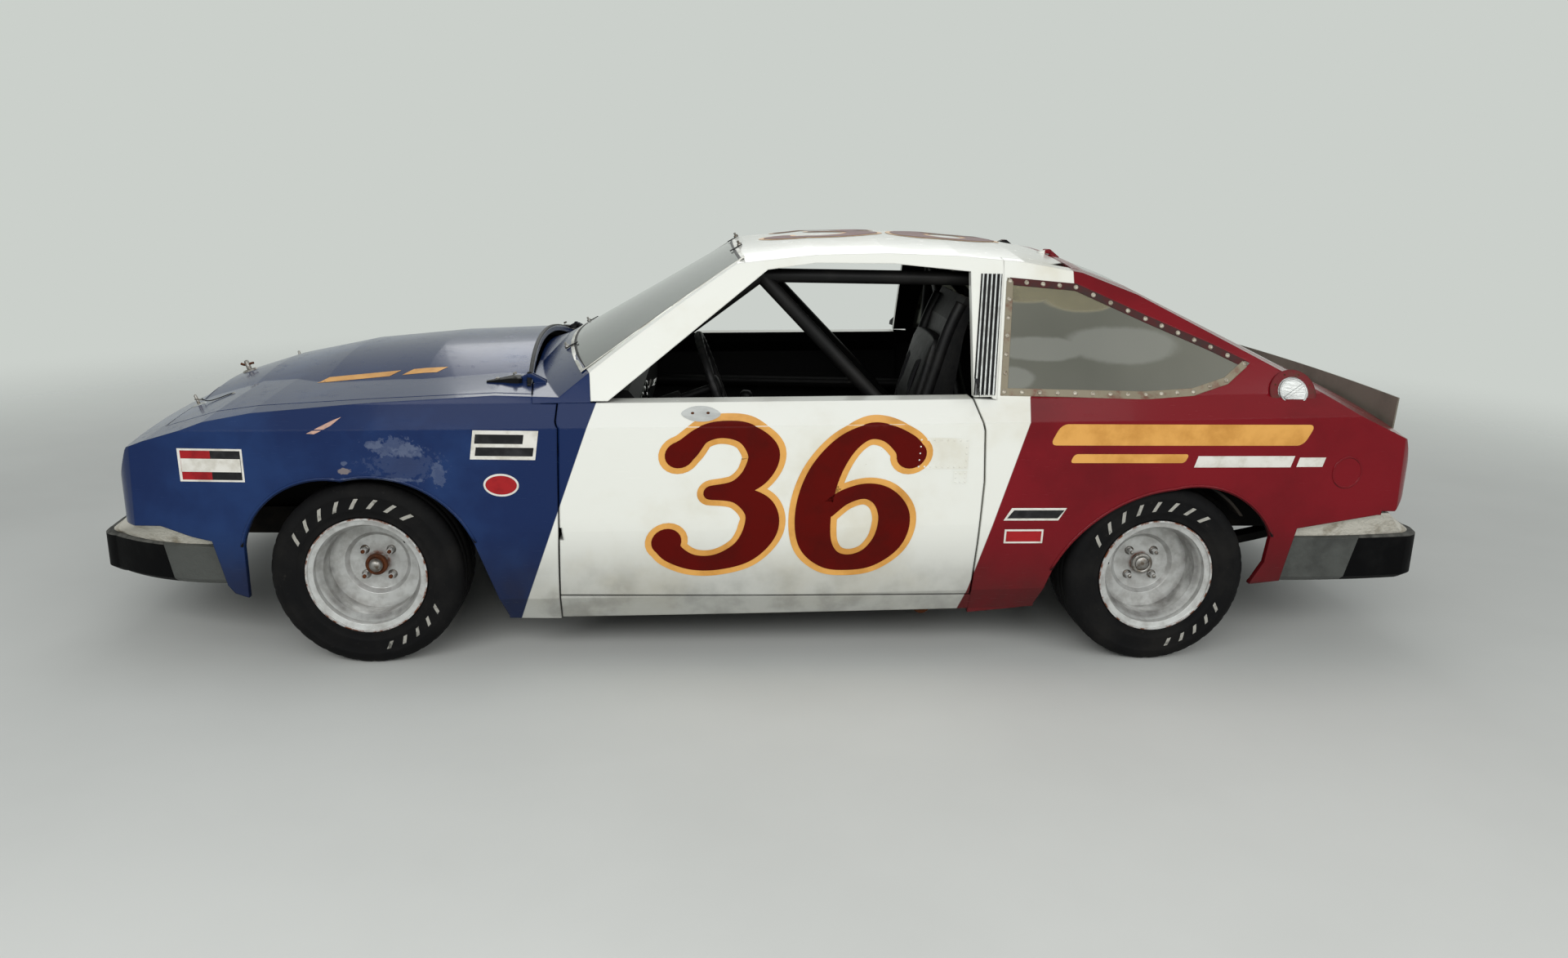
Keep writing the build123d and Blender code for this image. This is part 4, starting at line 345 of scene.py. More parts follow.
def rib_material():
    """Ribbed trim in painted light: a painted highlight along the middle of each rib, black between as
    painted shade.
    """
    graph = Graph("pillar_rib", rough=0.22, specular=0.3)
    edge = graph.plus(RIB_FRONT[0], graph.times(graph.minus(graph.z, RIB_FRONT[1]), RIB_LEAN))
    share = graph.math("FRACT", graph.times(graph.math("DIVIDE", graph.minus(graph.x, edge), RIB_SPAN), RIBS))
    # Painted highlight along the middle of each rib, painted shade on its edges
    bright = graph.times(graph.step(share, 0.3, 0.36), graph.step(share, 0.7, 0.64))
    metal = graph.mix(graph.step(graph.noise(40.0), 0.4, 0.7), (226, 228, 226), (190, 190, 186))
    graph.colour(graph.mix(bright, (16, 16, 17), metal))
    graph.give("Metallic", graph.times(bright, 0.6))
    graph.bump(graph.noise(200.0, 2.0), 0.05, 0.0005)
    return graph.material


def bumper_material():
    """Black bumper skin, lighter grey on faces that look up."""
    graph = Graph("bumper_rubber", specular=0.06)
    side = graph.mix(graph.step(graph.noise(9.0, 6.0, 0.62), 0.45, 0.8), (5, 5, 6), (18, 18, 18))
    top = graph.mix(graph.step(graph.noise(30.0, 5.0), 0.35, 0.7), (92, 92, 88), (58, 58, 56))
    # Faces that look up are coloured lighter grey than the sides
    graph.colour(graph.mix(graph.step(graph.facing_z, 0.25, 0.6), side, top))
    graph.rough(graph.plus(0.38, graph.times(graph.noise(18.0, 5.0), 0.35)))
    graph.bump(graph.noise(26.0, 5.0, 0.6), 0.35, 0.004, edge=0.008)
    return graph.material


def wheel_material():
    """Dull cast alloy with brake dust in the barrel and rust at the lip and hub."""
    graph = Graph("wheel_alloy", rough=0.36, specular=0.3)
    axle_x = graph.blend(graph.step(graph.x, -0.01, 0.01), REAR_X, FRONT_X)
    radius = graph.far(graph.minus(graph.x, axle_x), graph.minus(graph.z, HUB_Z))
    colour = graph.mix(graph.step(graph.noise(26.0, 6.0, 0.6), 0.35, 0.7), (206, 207, 205), (176, 175, 172))
    depth = graph.step(graph.math("ABSOLUTE", graph.y), 0.845, 0.775)
    ring = graph.times(graph.step(radius, 0.118, 0.148), graph.step(radius, 0.16, 0.15))
    dusty = graph.most(ring, graph.times(depth, 0.35))
    soot = graph.times(dusty, graph.step(graph.noise(12.0, 6.0), 0.25, 0.75))
    colour = graph.mix(graph.times(soot, 0.7), colour, (60, 52, 46))
    lip = graph.times(graph.step(radius, 0.1755, 0.1785), graph.step(graph.noise(40.0, 5.0), 0.42, 0.6))
    hub = graph.times(graph.step(radius, 0.042, 0.03), graph.step(graph.noise(50.0, 5.0), 0.3, 0.6))
    rust = graph.most(lip, hub)
    graph.colour(graph.mix(rust, colour, RUST))
    graph.give("Metallic", graph.minus(0.55, graph.times(rust, 0.5)))
    graph.rough(graph.plus(0.3, graph.plus(graph.times(soot, 0.35), graph.times(rust, 0.4))))
    graph.bump(graph.noise(180.0, 3.0), 0.2, 0.0006, edge=0.0025)
    return graph.material


def rubber_material():
    """Black tyre rubber, greyer in clouds and scuffed in small spots."""
    graph = Graph("tyre_rubber", specular=0.1)
    tone = graph.noise(7.0, 6.0, 0.62)
    colour = graph.mix(graph.step(tone, 0.4, 0.75), (14, 14, 15), (28, 27, 26))
    scuff = graph.step(graph.noise(46.0, 6.0, 0.7), 0.62, 0.76)
    graph.colour(graph.mix(graph.times(scuff, 0.22), colour, (84, 80, 74)))
    graph.rough(graph.plus(0.6, graph.times(tone, 0.25)))
    graph.bump(graph.noise(420.0, 2.0), 0.25, 0.0008)
    return graph.material


# Two-tone surfaces: both colours, then what differs from a plain one
PLAIN = {
    "black_steel": ((14, 14, 14), (26, 25, 24), dict(scale=9.0, specular=0.15)),
    "chassis_black": ((16, 16, 15), (40, 35, 30), dict(rough=0.68, scale=6.0, bump=0.3, specular=0.1)),
    "black_plastic": ((14, 14, 15), (24, 24, 24), dict(scale=40.0, specular=0.15)),
    "black_vinyl": ((16, 16, 17), (28, 27, 26), dict(rough=0.45, scale=16.0, bump=0.4, depth=0.0015)),
    "bare_aluminium": ((190, 192, 190), (160, 161, 160), dict(rough=0.38, metal=0.6, scale=7.0, bump=0.35,
                                                              depth=0.004, edge=0.002, stretch=(1, 1, 4))),
    # Bumper caps' aluminium is painted darker than bare aluminium: a painted dark reflection
    "cap_aluminium_dark_reflection": ((84, 86, 83), (62, 63, 61), dict(rough=0.42, metal=0.35, scale=6.0, bump=0.5,
                                                       depth=0.006, edge=0.003)),
    "blade_grey": ((118, 113, 102), (100, 95, 85), dict(rough=0.4, metal=0.1, scale=5.0, bump=0.1)),
    "filler_paint": ((206, 202, 190), (150, 141, 124), dict(metal=0.15, scale=13.0, bump=0.8, depth=0.006,
                                                            edge=0.002, share=(0.48, 0.72))),
    "chrome": ((214, 214, 212), (170, 170, 168), dict(rough=0.16, metal=1.0, scale=50.0, bump=0.05)),
    "steel_bolt": ((150, 148, 144), (96, 84, 72), dict(rough=0.4, metal=0.8, scale=60.0)),
    "rusty_steel": ((96, 54, 30), (58, 36, 26), dict(rough=0.8, metal=0.25, scale=40.0, bump=0.7)),
    "lamp_red": ((120, 14, 12), (84, 10, 10), dict(rough=0.18, scale=14.0, coat=0.6)),
    "number_red": ((88, 12, 8), (76, 14, 10), dict(rough=0.35, scale=8.0, bump=0.05, specular=0.06)),
    "number_gold": ((222, 164, 84), (196, 138, 62), dict(rough=0.35, scale=8.0, bump=0.05, coat=0.3)),
    "decal_white": ((222, 220, 212), (196, 192, 180), dict(rough=0.4, bump=0.05)),
    "decal_black": ((24, 24, 26), (46, 46, 48), dict(rough=0.4, bump=0.05)),
    "decal_red": ((160, 30, 34), (132, 22, 28), dict(rough=0.4, bump=0.05)),
    "belt_web": ((20, 20, 22), (30, 30, 33), dict(rough=0.85, scale=260.0, bump=0.6)),
    "dial_face": ((14, 14, 15), (24, 24, 24), dict(rough=0.3, scale=30.0)),
    "band_rust": ((70, 30, 30), (52, 40, 38), dict(rough=0.6, metal=0.1, scale=18.0, bump=0.5)),
    "band_grey": ((132, 124, 106), (108, 70, 58), dict(metal=0.2, scale=16.0, bump=0.4, share=(0.5, 0.7))),
    "trim_bright": ((206, 206, 200), (160, 156, 148), dict(rough=0.3, metal=0.7, scale=12.0, bump=0.2)),
    "bare_primer": ((196, 158, 140), (150, 130, 122), dict(rough=0.6, scale=60.0)),
    "patch_cream": (CREAM, CREAM_AGED, dict(rough=0.36, scale=4.0, bump=0.2, coat=0.4)),
    "rivet_dull": ((176, 170, 156), (120, 108, 92), dict(rough=0.4, metal=0.4, scale=90.0)),
    "tyre_white": ((160, 158, 150), (70, 69, 65), dict(rough=0.7, scale=34.0, share=(0.48, 0.7))),
    "rusty_red": ((104, 30, 34), (84, 48, 40), dict(rough=0.6, scale=22.0, bump=0.6, depth=0.003)),
    "engine_grey": ((70, 74, 80), (46, 44, 42), dict(rough=0.6, metal=0.3, scale=10.0)),
}
MATERIALS = {name: paint(name, zones) for name, zones in PAINT_ZONES.items()}
MATERIALS.update({name: plain(name, *colours, **settings) for name, (*colours, settings) in PLAIN.items()})
MATERIALS.update(screen_glass=screen_glass(), quarter_sheet=smoky_sheet(), pillar_rib=rib_material(),
                 bumper_rubber=bumper_material(), wheel_alloy=wheel_material(), tyre_rubber=rubber_material())

# Nodes by material. Tyres and wheels go by their names
NODE_MATERIALS = {
    "paint_blue": ("hood", "nose_panel", "cowl"),
    "paint_fender": ("fender_left", "fender_right"),
    "paint_door": ("door_left", "door_right", "sills"),
    "paint_roof": ("quarter_left", "quarter_right", "roof"),
    "paint_red": ("hatch", "tail_panel"),
    "screen_glass": ("windscreen", "hatch_glass"),
    "quarter_sheet": ("quarter_glass_left", "quarter_glass_right"),
    "black_plastic": ("grille", "dashboard", "steering_wheel"),
    "bare_aluminium": ("lamp_blanks", "fuel_filler"),
    "lamp_red": ("tail_lamps",),
    "blade_grey": ("spoiler",),
    "pillar_rib": ("pillar_trims",),
    "bumper_rubber": ("front_bumper", "rear_bumper"),
    "cap_aluminium_dark_reflection": ("bumper_caps",),
    "filler_paint": ("bumper_fillers",),
    "black_steel": ("hinge_posts", "fuel_cell", "roll_cage", "steering_column"),
    "chassis_black": ("wheelhouses", "floor_pan", "firewall", "frame_rails", "control_arms", "rear_axle",
                      "leaf_springs", "propeller_shaft"),
    "rusty_steel": ("knuckle_left", "knuckle_right", "exhaust"),
    "engine_grey": ("engine",),
    "black_vinyl": ("seat",),
}


def dress_nodes():
    wears = {node: material for material, nodes in NODE_MATERIALS.items() for node in nodes}
    for name, node in NODES.items():
        usual = "tyre_rubber" if name.startswith("tyre") else "wheel_alloy"
        node.data.materials.clear()
        node.data.materials.append(MATERIALS[wears.get(name, usual)])


# Mesh helpers
TUBE_REFERENCE = Vector((0.31, 0.17, 0.94))


def new_object(name, mesh, material, body):
    mesh.materials.append(MATERIALS[material])
    piece = linked(bpy.data.objects.new(name, mesh))
    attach(piece, body)
    return piece


def mesh_piece(name, points, faces, material, body="chassis", smooth=True):
    mesh = bpy.data.meshes.new(name)
    mesh.from_pydata([tuple(point) for point in points], [], faces)
    if smooth:
        mesh.shade_smooth()
    mesh.validate()
    return new_object(name, mesh, material, body)


def worked_piece(name, work, material, body):
    """Smooth piece of a finished bmesh."""
    mesh = bpy.data.meshes.new(name)
    work.to_mesh(mesh)
    work.free()
    mesh.shade_smooth()
    return new_object(name, mesh, material, body)


def turns(count, shift=0.0):
    """Cosine and sine of even steps round a circle."""
    angles = [2 * math.pi * (step + shift) / count for step in range(count)]
    return [(math.cos(angle), math.sin(angle)) for angle in angles]


def bands(rows, count, closed=False, ring=True):
    """Faces between rows of count points. Closed joins the last row to the first, ring each row to itself."""
    faces = []
    for row in range(rows if closed else rows - 1):
        first, second = row * count, (row + 1) % rows * count
        for turn in range(count if ring else count - 1):
            other = (turn + 1) % count
            faces.append([first + turn, first + other, second + other, second + turn])
    return faces


def moved(faces, first):
    """Faces whose points start at a later place in the list."""
    return [[first + index for index in face] for face in faces]


def capped(rows, count):
    """Faces of a bar of rows of count points, with both ends."""
    ring = list(range(count))
    return bands(rows, count) + [ring[::-1]] + moved([ring], (rows - 1) * count)


def neighbours(path, index, closed=False):
    """The points before and after one of a path. At an open end the point stands for its neighbour."""
    if closed:
        return path[index - 1], path[(index + 1) % len(path)]
    return path[max(0, index - 1)], path[min(len(path) - 1, index + 1)]


def smooth_line(points, count):
    """Points of a smooth line through some points, count to each stretch."""
    places = [Vector(point) for point in points]
    line = []
    for index in range(len(places) - 1):
        (a, c), b = neighbours(places, index), places[index]
        d = places[min(len(places) - 1, index + 2)]
        for step in range(count):
            t = step / count
            line.append(0.5 * ((2 * b) + (c - a) * t + (2 * a - 5 * b + 4 * c - d) * t * t
                               + (3 * b - a - 3 * c + d) * t ** 3))
    return line + [places[-1]]


def even(path, spacing, closed=False):
    """Points about one spacing apart along straight runs, corners kept."""
    corners = [Vector(point) for point in path]
    places = [corners[0]]
    for start, end in zip(corners, corners[1:] + corners[:1] if closed else corners[1:]):
        count = max(1, round((end - start).length / spacing))
        places += [start.lerp(end, (index + 1) / count) for index in range(count)]
    return places[:-1] if closed else places


def grow(path, amount):
    """Closed flat outline moved outwards by an amount."""
    corners = [Vector(corner) for corner in path]
    area = sum(a.x * b.y - b.x * a.y for a, b in zip(corners, corners[1:] + corners[:1]))
    turn = math.copysign(1, area)
    wider = []
    for index, corner in enumerate(corners):
        before, after = neighbours(corners, index, closed=True)
        runs = (corner - before, after - corner)
        first, second = [turn * Vector((run.y, -run.x)).normalized() for run in runs]
        middle = (first + second).normalized()
        wider.append(corner + middle * (amount / max(0.4, middle.dot(first))))
    return wider


def tube(name, path, radius, material, body="chassis", sides=12, closed=False):
    """Round bar along points."""
    points = []
    for index, place in enumerate(path):
        before, after = neighbours(path, index, closed)
        along = (Vector(after) - Vector(before)).normalized()
        side = along.cross(TUBE_REFERENCE).normalized()
        top = side.cross(along)
        points += [Vector(place) + radius * (cosine * side + sine * top) for cosine, sine in turns(sides)]
    faces = bands(len(path), sides, closed=True) if closed else capped(len(path), sides)
    return mesh_piece(name, points, faces, material, body)


def lathe(name, profile, centre, axis, material, body="chassis", sides=32):
    """Profile of (radius, distance along the axis), turned about the axis. A hexagon keeps its flats."""
    along = Vector(axis).normalized()
    side = along.orthogonal().normalized()
    top = along.cross(side)
    points = []
    for cosine, sine in turns(sides):
        out = cosine * side + sine * top
        points += [Vector(centre) + radius * out + distance * along for radius, distance in profile]
    faces = bands(sides, len(profile), closed=True, ring=False)
    return mesh_piece(name, points, faces, material, body, smooth=sides > 6)


# Turned pieces: material, sides, and profile of (radius, distance along the axis)
TURNED = {
    "nut_washer": ("steel_bolt", 20, [(0.0, 0.0015), (0.0145, 0.0015), (0.0145, -0.0002)]),
    "stud": ("steel_bolt", 14, [(0.0, 0.03), (0.0052, 0.03), (0.006, 0.0288), (0.006, 0.0235)]),
    "spindle_cap": ("steel_bolt", 28, [(0.0, 0.06), (0.008, 0.0598), (0.016, 0.0565), (0.0205, 0.05),
                                       (0.0215, 0.045), (0.0215, 0.03)]),
    "bore_ring": ("rusty_steel", 36, [(0.0335, 0.03), (0.0335, 0.0405), (0.0318, 0.042), (0.025, 0.042),
                                      (0.0232, 0.04), (0.0232, 0.03)]),
    "hub_cap": ("steel_bolt", 36, [(0.0, 0.0305), (0.02, 0.0305), (0.0215, 0.0285), (0.024, 0.0285),
                                   (0.0255, 0.0302), (0.0322, 0.0296), (0.0338, 0.0275), (0.0338, 0.018)]),
    "hood_pin_plate": ("bare_aluminium", 32, [(0.0, 0.0024), (0.017, 0.0024), (0.021, 0.0014),
                                              (0.0225, -0.0005)]),
    "hood_pin": ("steel_bolt", 20, [(0.0, 0.034), (0.0032, 0.0335), (0.0048, 0.031), (0.0048, -0.006)]),
    "hood_latch_base": ("steel_bolt", 28, [(0.0, 0.006), (0.02, 0.006), (0.024, 0.004), (0.026, -0.0005)]),
    "hood_latch_post": ("steel_bolt", 20, [(0.0, 0.04), (0.006, 0.039), (0.0085, 0.035), (0.0085, 0.004)]),
    "hood_hinge_bolt": ("steel_bolt", 6, [(0.0, 0.007), (0.006, 0.007), (0.0075, 0.0055), (0.0075, 0.0)]),
    "screen_clip_bolt": ("steel_bolt", 12, [(0.0, 0.016), (0.004, 0.016), (0.0045, 0.0065), (0.0085, 0.006),
                                            (0.0085, 0.0)]),
    "filler_ring": ("rusty_red", 64, [(0.048, 0.0052), (0.05, 0.0062), (0.069, 0.0062), (0.0725, 0.005),
                                      (0.073, 0.0015)]),
    "filler_cap_edge": ("bare_aluminium", 64, [(0.0385, 0.0092), (0.0395, 0.011), (0.0425, 0.0112),
                                               (0.0442, 0.0095), (0.0443, 0.003)]),
    "belt_buckle": ("steel_bolt", 28, [(0.0, 0.014), (0.02, 0.013), (0.03, 0.009), (0.031, 0.0)]),
    "steering_hub_pad": ("black_vinyl", 40, [(0.0, 0.016), (0.022, 0.015), (0.034, 0.01), (0.038, 0.002)]),
    "switch_nut": ("steel_bolt", 6, [(0.0, 0.003), (0.008, 0.003), (0.008, -0.0002)]),
    "shift_knob": ("black_plastic", 24, [(0.0, 0.046), (0.014, 0.044), (0.023, 0.034), (0.025, 0.022),
                                         (0.018, 0.008), (0.01, 0.0)]),
    "shift_boot": ("black_vinyl", 28, [(0.062, 0.0), (0.058, 0.012), (0.046, 0.016), (0.044, 0.03),
                                       (0.032, 0.034), (0.029, 0.05), (0.016, 0.056), (0.01, 0.075)]),
}


def turned(kind, centre, axis, body="chassis", end="", material=None):
    """One of the turned pieces, named by its kind and an end."""
    usual, sides, profile = TURNED[kind]
    lathe(kind + end, profile, centre, axis, material or usual, body, sides)


RIVET_SIDES = 10
RIVET_RINGS = ((1.0, 0.0), (0.86, 0.55), (0.5, 0.88))


def rivets(name, places, radius, material, body="chassis", height=0.5):
    """Round rivet heads as one mesh: each place is a point and its outward normal."""
    points, faces = [], []
    for place, normal in places:
        out = Vector(normal).normalized()
        side = out.orthogonal().normalized()
        top = out.cross(side)
        faces += moved(bands(len(RIVET_RINGS), RIVET_SIDES), len(points))
        for share, rise in RIVET_RINGS:
            middle = Vector(place) + radius * height * rise * out
            points += [middle + radius * share * (cosine * side + sine * top)
                       for cosine, sine in turns(RIVET_SIDES)]
        crown, last = len(points), len(points) - RIVET_SIDES
        points.append(Vector(place) + radius * height * out)
        faces += [[last + turn, last + (turn + 1) % RIVET_SIDES, crown] for turn in range(RIVET_SIDES)]
    return mesh_piece(name, points, faces, material, body)


# Skin that details are laid on
def surface(*names):
    """Search tree over the faces of some nodes."""
    points, faces = [], []
    for name in names:
        mesh = NODES[name].data
        faces += moved([polygon.vertices for polygon in mesh.polygons], len(points))
        points += [vertex.co.copy() for vertex in mesh.vertices]
    return BVHTree.FromPolygons(points, faces)


SIDE_SKIN = {side: surface(*[f"{name}_{end}" for name in ("fender", "door", "quarter", "quarter_glass")],
                           "sills", "roof") for side, end in SIDES}
TOP_SKIN = surface("hood", "roof", "hatch", "cowl", "nose_panel", "fender_left", "fender_right")
SIDE_START, SIDE_USUAL = 1.5, 0.9
TOP_START, TOP_USUAL = 2.0, 0.9


def met(tree, start, out, missed, lift):
    """Point, lifted off the skin, and outward normal where a ray meets it, or else at the missed place."""
    place, normal, _, _ = tree.ray_cast(start, -out)
    if place is None:
        place, normal = missed, out
    if normal.dot(out) < 0:
        normal = -normal
    return place + lift * normal, normal


def on_side(x, z, side, lift=0.0):
    """Point and normal on the car's side at x and z."""
    start, missed = Vector((x, side * SIDE_START, z)), Vector((x, side * SIDE_USUAL, z))
    return met(SIDE_SKIN[side], start, side * LEFTWARD, missed, lift)


def on_top(x, y, lift=0.0):
    """Point and normal on the car's top at x and y."""
    return met(TOP_SKIN, Vector((x, y, TOP_START)), UPWARD, Vector((x, y, TOP_USUAL)), lift)


def side_placer(x, z, side):
    """Maps a mark's own axes to the car's side, reading forwards from outside."""
    return lambda u, v, lift: on_side(x - side * u, z + v, side, lift)


def flank_placer(side):
    """Maps x and z to the car's side."""
    return lambda x, z, lift: on_side(x, z, side, lift)


def top_placer(x, y, side):
    """Maps a mark's own axes to the car's top, reading from one side."""
    return lambda u, v, lift: on_top(x - side * u, y - side * v, lift)


# Paint marks: flat outlines laid on the skin, cut where the side is creased
SIDE_CREASES = (0.45, 0.77)
CREASE_RISE = -0.02095
CREASE_HALF = 0.002
MARK_GRID = 0.03
MARK_LIFT = 0.0006


def cut_flat(work, place, normal):
    geometry = work.verts[:] + work.edges[:] + work.faces[:]
    bmesh.ops.bisect_plane(work, geom=geometry, plane_co=place, plane_no=normal)


def lay_mark(name, flat, place, material, body="chassis", lift=MARK_LIFT):
    """Cuts a flat mesh into a grid and drops every point on the skin by place(u, v, lift)."""
    work = bmesh.new()
    work.from_mesh(flat)
    heights = [vertex.co.y for vertex in work.verts]
    middle = place(0.0, 0.0, 0.0)[0]
    turn = math.copysign(1, place(0.01, 0.0, 0.0)[0].x - middle.x)
    for crease in SIDE_CREASES:
        cut = crease + CREASE_RISE * middle.x - middle.z
        for near in (cut - CREASE_HALF, cut + CREASE_HALF):
            if min(heights) < near < max(heights):
                cut_flat(work, Vector((0, near, 0)), Vector((-CREASE_RISE * turn, 1, 0)))
    for axis in (0, 1):
        values = [vertex.co[axis] for vertex in work.verts]
        normal = Vector((1 - axis, axis, 0))
        for line in range(math.floor(min(values) / MARK_GRID), math.ceil(max(values) / MARK_GRID)):
            cut_flat(work, normal * (line * MARK_GRID), normal)
    for vertex in work.verts:
        vertex.co = place(vertex.co.x, vertex.co.y, lift + vertex.co.z)[0]
    worked_piece(name, work, material, body)


def flat_mesh(points, faces=None):
    """Flat mesh of one outline, or of several faces."""
    mesh = bpy.data.meshes.new("flat")
    mesh.from_pydata([(*point, 0)[:3] for point in points], [], faces or [list(range(len(points)))])
    return mesh


# Numerals drawn as strokes: x, y, half width, in shares of the height
NUMERALS = {
    "3": [[(0.075, 0.79, 0.082), (0.12, 0.835, 0.07), (0.2, 0.925, 0.05), (0.33, 0.957, 0.043),
           (0.48, 0.925, 0.06), (0.59, 0.8, 0.088), (0.56, 0.66, 0.08), (0.45, 0.565, 0.05),
           (0.3, 0.535, 0.04)],
          [(0.3, 0.535, 0.04), (0.47, 0.52, 0.05), (0.61, 0.425, 0.085), (0.64, 0.28, 0.1),
           (0.56, 0.13, 0.08), (0.4, 0.048, 0.05), (0.24, 0.045, 0.045), (0.11, 0.11, 0.06),
           (0.062, 0.19, 0.085)]],
    "6": [[(0.64, 0.8, 0.085), (0.59, 0.87, 0.068), (0.47, 0.945, 0.048), (0.34, 0.95, 0.046),
           (0.21, 0.85, 0.07), (0.115, 0.66, 0.095), (0.085, 0.43, 0.105), (0.12, 0.21, 0.095),
           (0.22, 0.08, 0.065), (0.35, 0.045, 0.048), (0.49, 0.085, 0.065), (0.59, 0.21, 0.09),
           (0.6, 0.37, 0.09), (0.52, 0.5, 0.065), (0.4, 0.55, 0.045), (0.27, 0.51, 0.045),
           (0.17, 0.42, 0.05)]],
}
NUMERAL_SIZE = 0.7
NUMERAL_STEP = 0.868
NUMERAL_LAYER = 0.00006
STROKE_POINTS = 9
STROKE_END_POINTS = 24
NUMBER = "36"
NUMBER_WIDTH = 1.06
NUMBER_SLANT = 0.12
DOOR_NUMBER_PLACE = (-0.02, 0.548)
DOOR_NUMBER_HEIGHT = 0.455
ROOF_NUMBER_PLACE = (-0.4, 0.0)
ROOF_NUMBER_HEIGHT = 0.48
DOOR_BORDER, ROOF_BORDER = 0.022, 0.02
NUMBER_EXTRA = 0.004


def numeral_mesh(height, extra):
    """Flat mesh of the number, centred, with each stroke wider by extra at both edges."""
    points, faces = [], []
    left = -(NUMERAL_STEP * (len(NUMBER) - 1) + NUMERAL_SIZE) / 2
    layer = 0
    for place, digit in enumerate(NUMBER):
        shift = left + NUMERAL_STEP * place
        for stroke in NUMERALS[digit]:
            line = smooth_line(stroke, STROKE_POINTS)
            faces += moved(bands(len(line), 2, ring=False), len(points))
            for index, spot in enumerate(line):
                before, after = neighbours(line, index)
                along = (after - before).xy.normalized()
                for half in (spot.z + extra / height, -spot.z - extra / height):
                    points.append((shift + spot.x - along.y * half, spot.y + along.x * half, layer))
            layer += 1
            for spot in (line[0], line[-1]):
                half = spot.z + extra / height
                faces += moved([range(STROKE_END_POINTS)], len(points))
                points += [(shift + spot.x + half * cosine, spot.y + half * sine, layer)
                           for cosine, sine in turns(STROKE_END_POINTS)]
            layer += 1
    return flat_mesh([((x + (y - 0.5) * NUMBER_SLANT) * height * NUMBER_WIDTH, (y - 0.5) * height,
                       NUMERAL_LAYER * level) for x, y, level in points], faces)


def lay_number(name, end, height, border, place, body, lift):
    """The number with a gold border under it."""
    lay_mark(f"{name}_edge{end}", numeral_mesh(height, border), place, "number_gold", body, lift)
    lay_mark(f"{name}{end}", numeral_mesh(height, NUMBER_EXTRA), place, "number_red", body, lift + 0.001)


def rectangle(width, height, skew=0.0, corner=0.0):
    """Outline of a leaning rectangle. A corner radius rounds it."""
    points = []
    for u, v, start in ((-1, -1, 180), (1, -1, 270), (1, 1, 0), (-1, 1, 90)):
        for step in range(5 if corner else 1):
            angle = math.radians(start + 22.5 * step)
            x = u * (width / 2 - corner) + corner * math.cos(angle)
            y = v * (height / 2 - corner) + corner * math.sin(angle)
            points.append((x + skew * y / (height / 2), y))
    return points


def ellipse(width, height, count=40, x=0.0, y=0.0):
    return [(x + width / 2 * cosine, y + height / 2 * sine) for cosine, sine in turns(count)]


# Marks of each side: name, x, z, outline, material, and its layer, 1 on the skin
MARKS = [
    ("nose_badge", 1.6675, 0.632, rectangle(0.186, 0.1), "decal_white", 1),
    ("nose_badge_front", 1.7095, 0.632, rectangle(0.086, 0.088), "decal_red", 2),
    ("nose_badge_rear", 1.6235, 0.632, rectangle(0.086, 0.088), "decal_black", 2),
    ("nose_badge_band", 1.6665, 0.632, rectangle(0.17, 0.04), "decal_white", 3),
    ("fender_badge", 0.8175, 0.704, rectangle(0.19, 0.088, 0.006), "decal_white", 1),
    ("fender_badge_top", 0.8315, 0.722, rectangle(0.14, 0.028, 0.002), "decal_black", 2),
    ("fender_badge_low", 0.8175, 0.684, rectangle(0.168, 0.026, 0.002), "decal_black", 2),
    ("fender_oval", 0.831, 0.582, ellipse(0.104, 0.07), "decal_white", 1),
    ("fender_oval_red", 0.831, 0.582, ellipse(0.092, 0.058), "decal_red", 2),
    ("rear_badge", -0.78, 0.497, rectangle(0.172, 0.04, 0.012), "decal_white", 1),
    ("rear_badge_dark", -0.782, 0.497, rectangle(0.158, 0.026, 0.01), "decal_black", 2),
    ("rear_plate", -0.75, 0.425, rectangle(0.122, 0.046), "decal_white", 1),
    ("rear_plate_red", -0.75, 0.425, rectangle(0.11, 0.034), "decal_red", 2),
    ("quarter_band", -1.222, 0.748, rectangle(0.8, 0.066, 0.016, 0.02), "number_gold", 1),
    ("quarter_band_low", -1.06, 0.674, rectangle(0.36, 0.028, 0.006, 0.01), "number_gold", 1),
    ("quarter_line", -1.425, 0.664, rectangle(0.31, 0.036, 0.005), "decal_white", 1),
    ("quarter_line_end", -1.64, 0.662, rectangle(0.085, 0.03, 0.004), "decal_white", 1),
]
HOOD_DASHES = ((1.345, 0.23), (1.135, 0.11))
HOOD_DASH_Y = 0.48
HOOD_DASH_WIDTH = 0.04


def add_marks():
    for side, end in SIDES:
        place = side_placer(*DOOR_NUMBER_PLACE, side)
        lay_number("door_number", f"_{end}", DOOR_NUMBER_HEIGHT, DOOR_BORDER, place, f"door_{end}", 0.0008)
        for name, x, z, points, material, layer in MARKS:
            if side < 0:
                points = [(-u, v) for u, v in reversed(points)]
            place = side_placer(x, z, side)
            lay_mark(f"{name}_{end}", flat_mesh(points), place, material, lift=MARK_LIFT * layer)
        for index, (x, length) in enumerate(HOOD_DASHES):
            lay_mark(f"hood_dash_{index}_{end}", flat_mesh(rectangle(length, HOOD_DASH_WIDTH, 0.014)),
                     top_placer(x, side * HOOD_DASH_Y, side), "number_gold", "hood")
    place = top_placer(*ROOF_NUMBER_PLACE, 1)
    lay_number("roof_number", "", ROOF_NUMBER_HEIGHT, ROOF_BORDER, place, "chassis", 0.001)


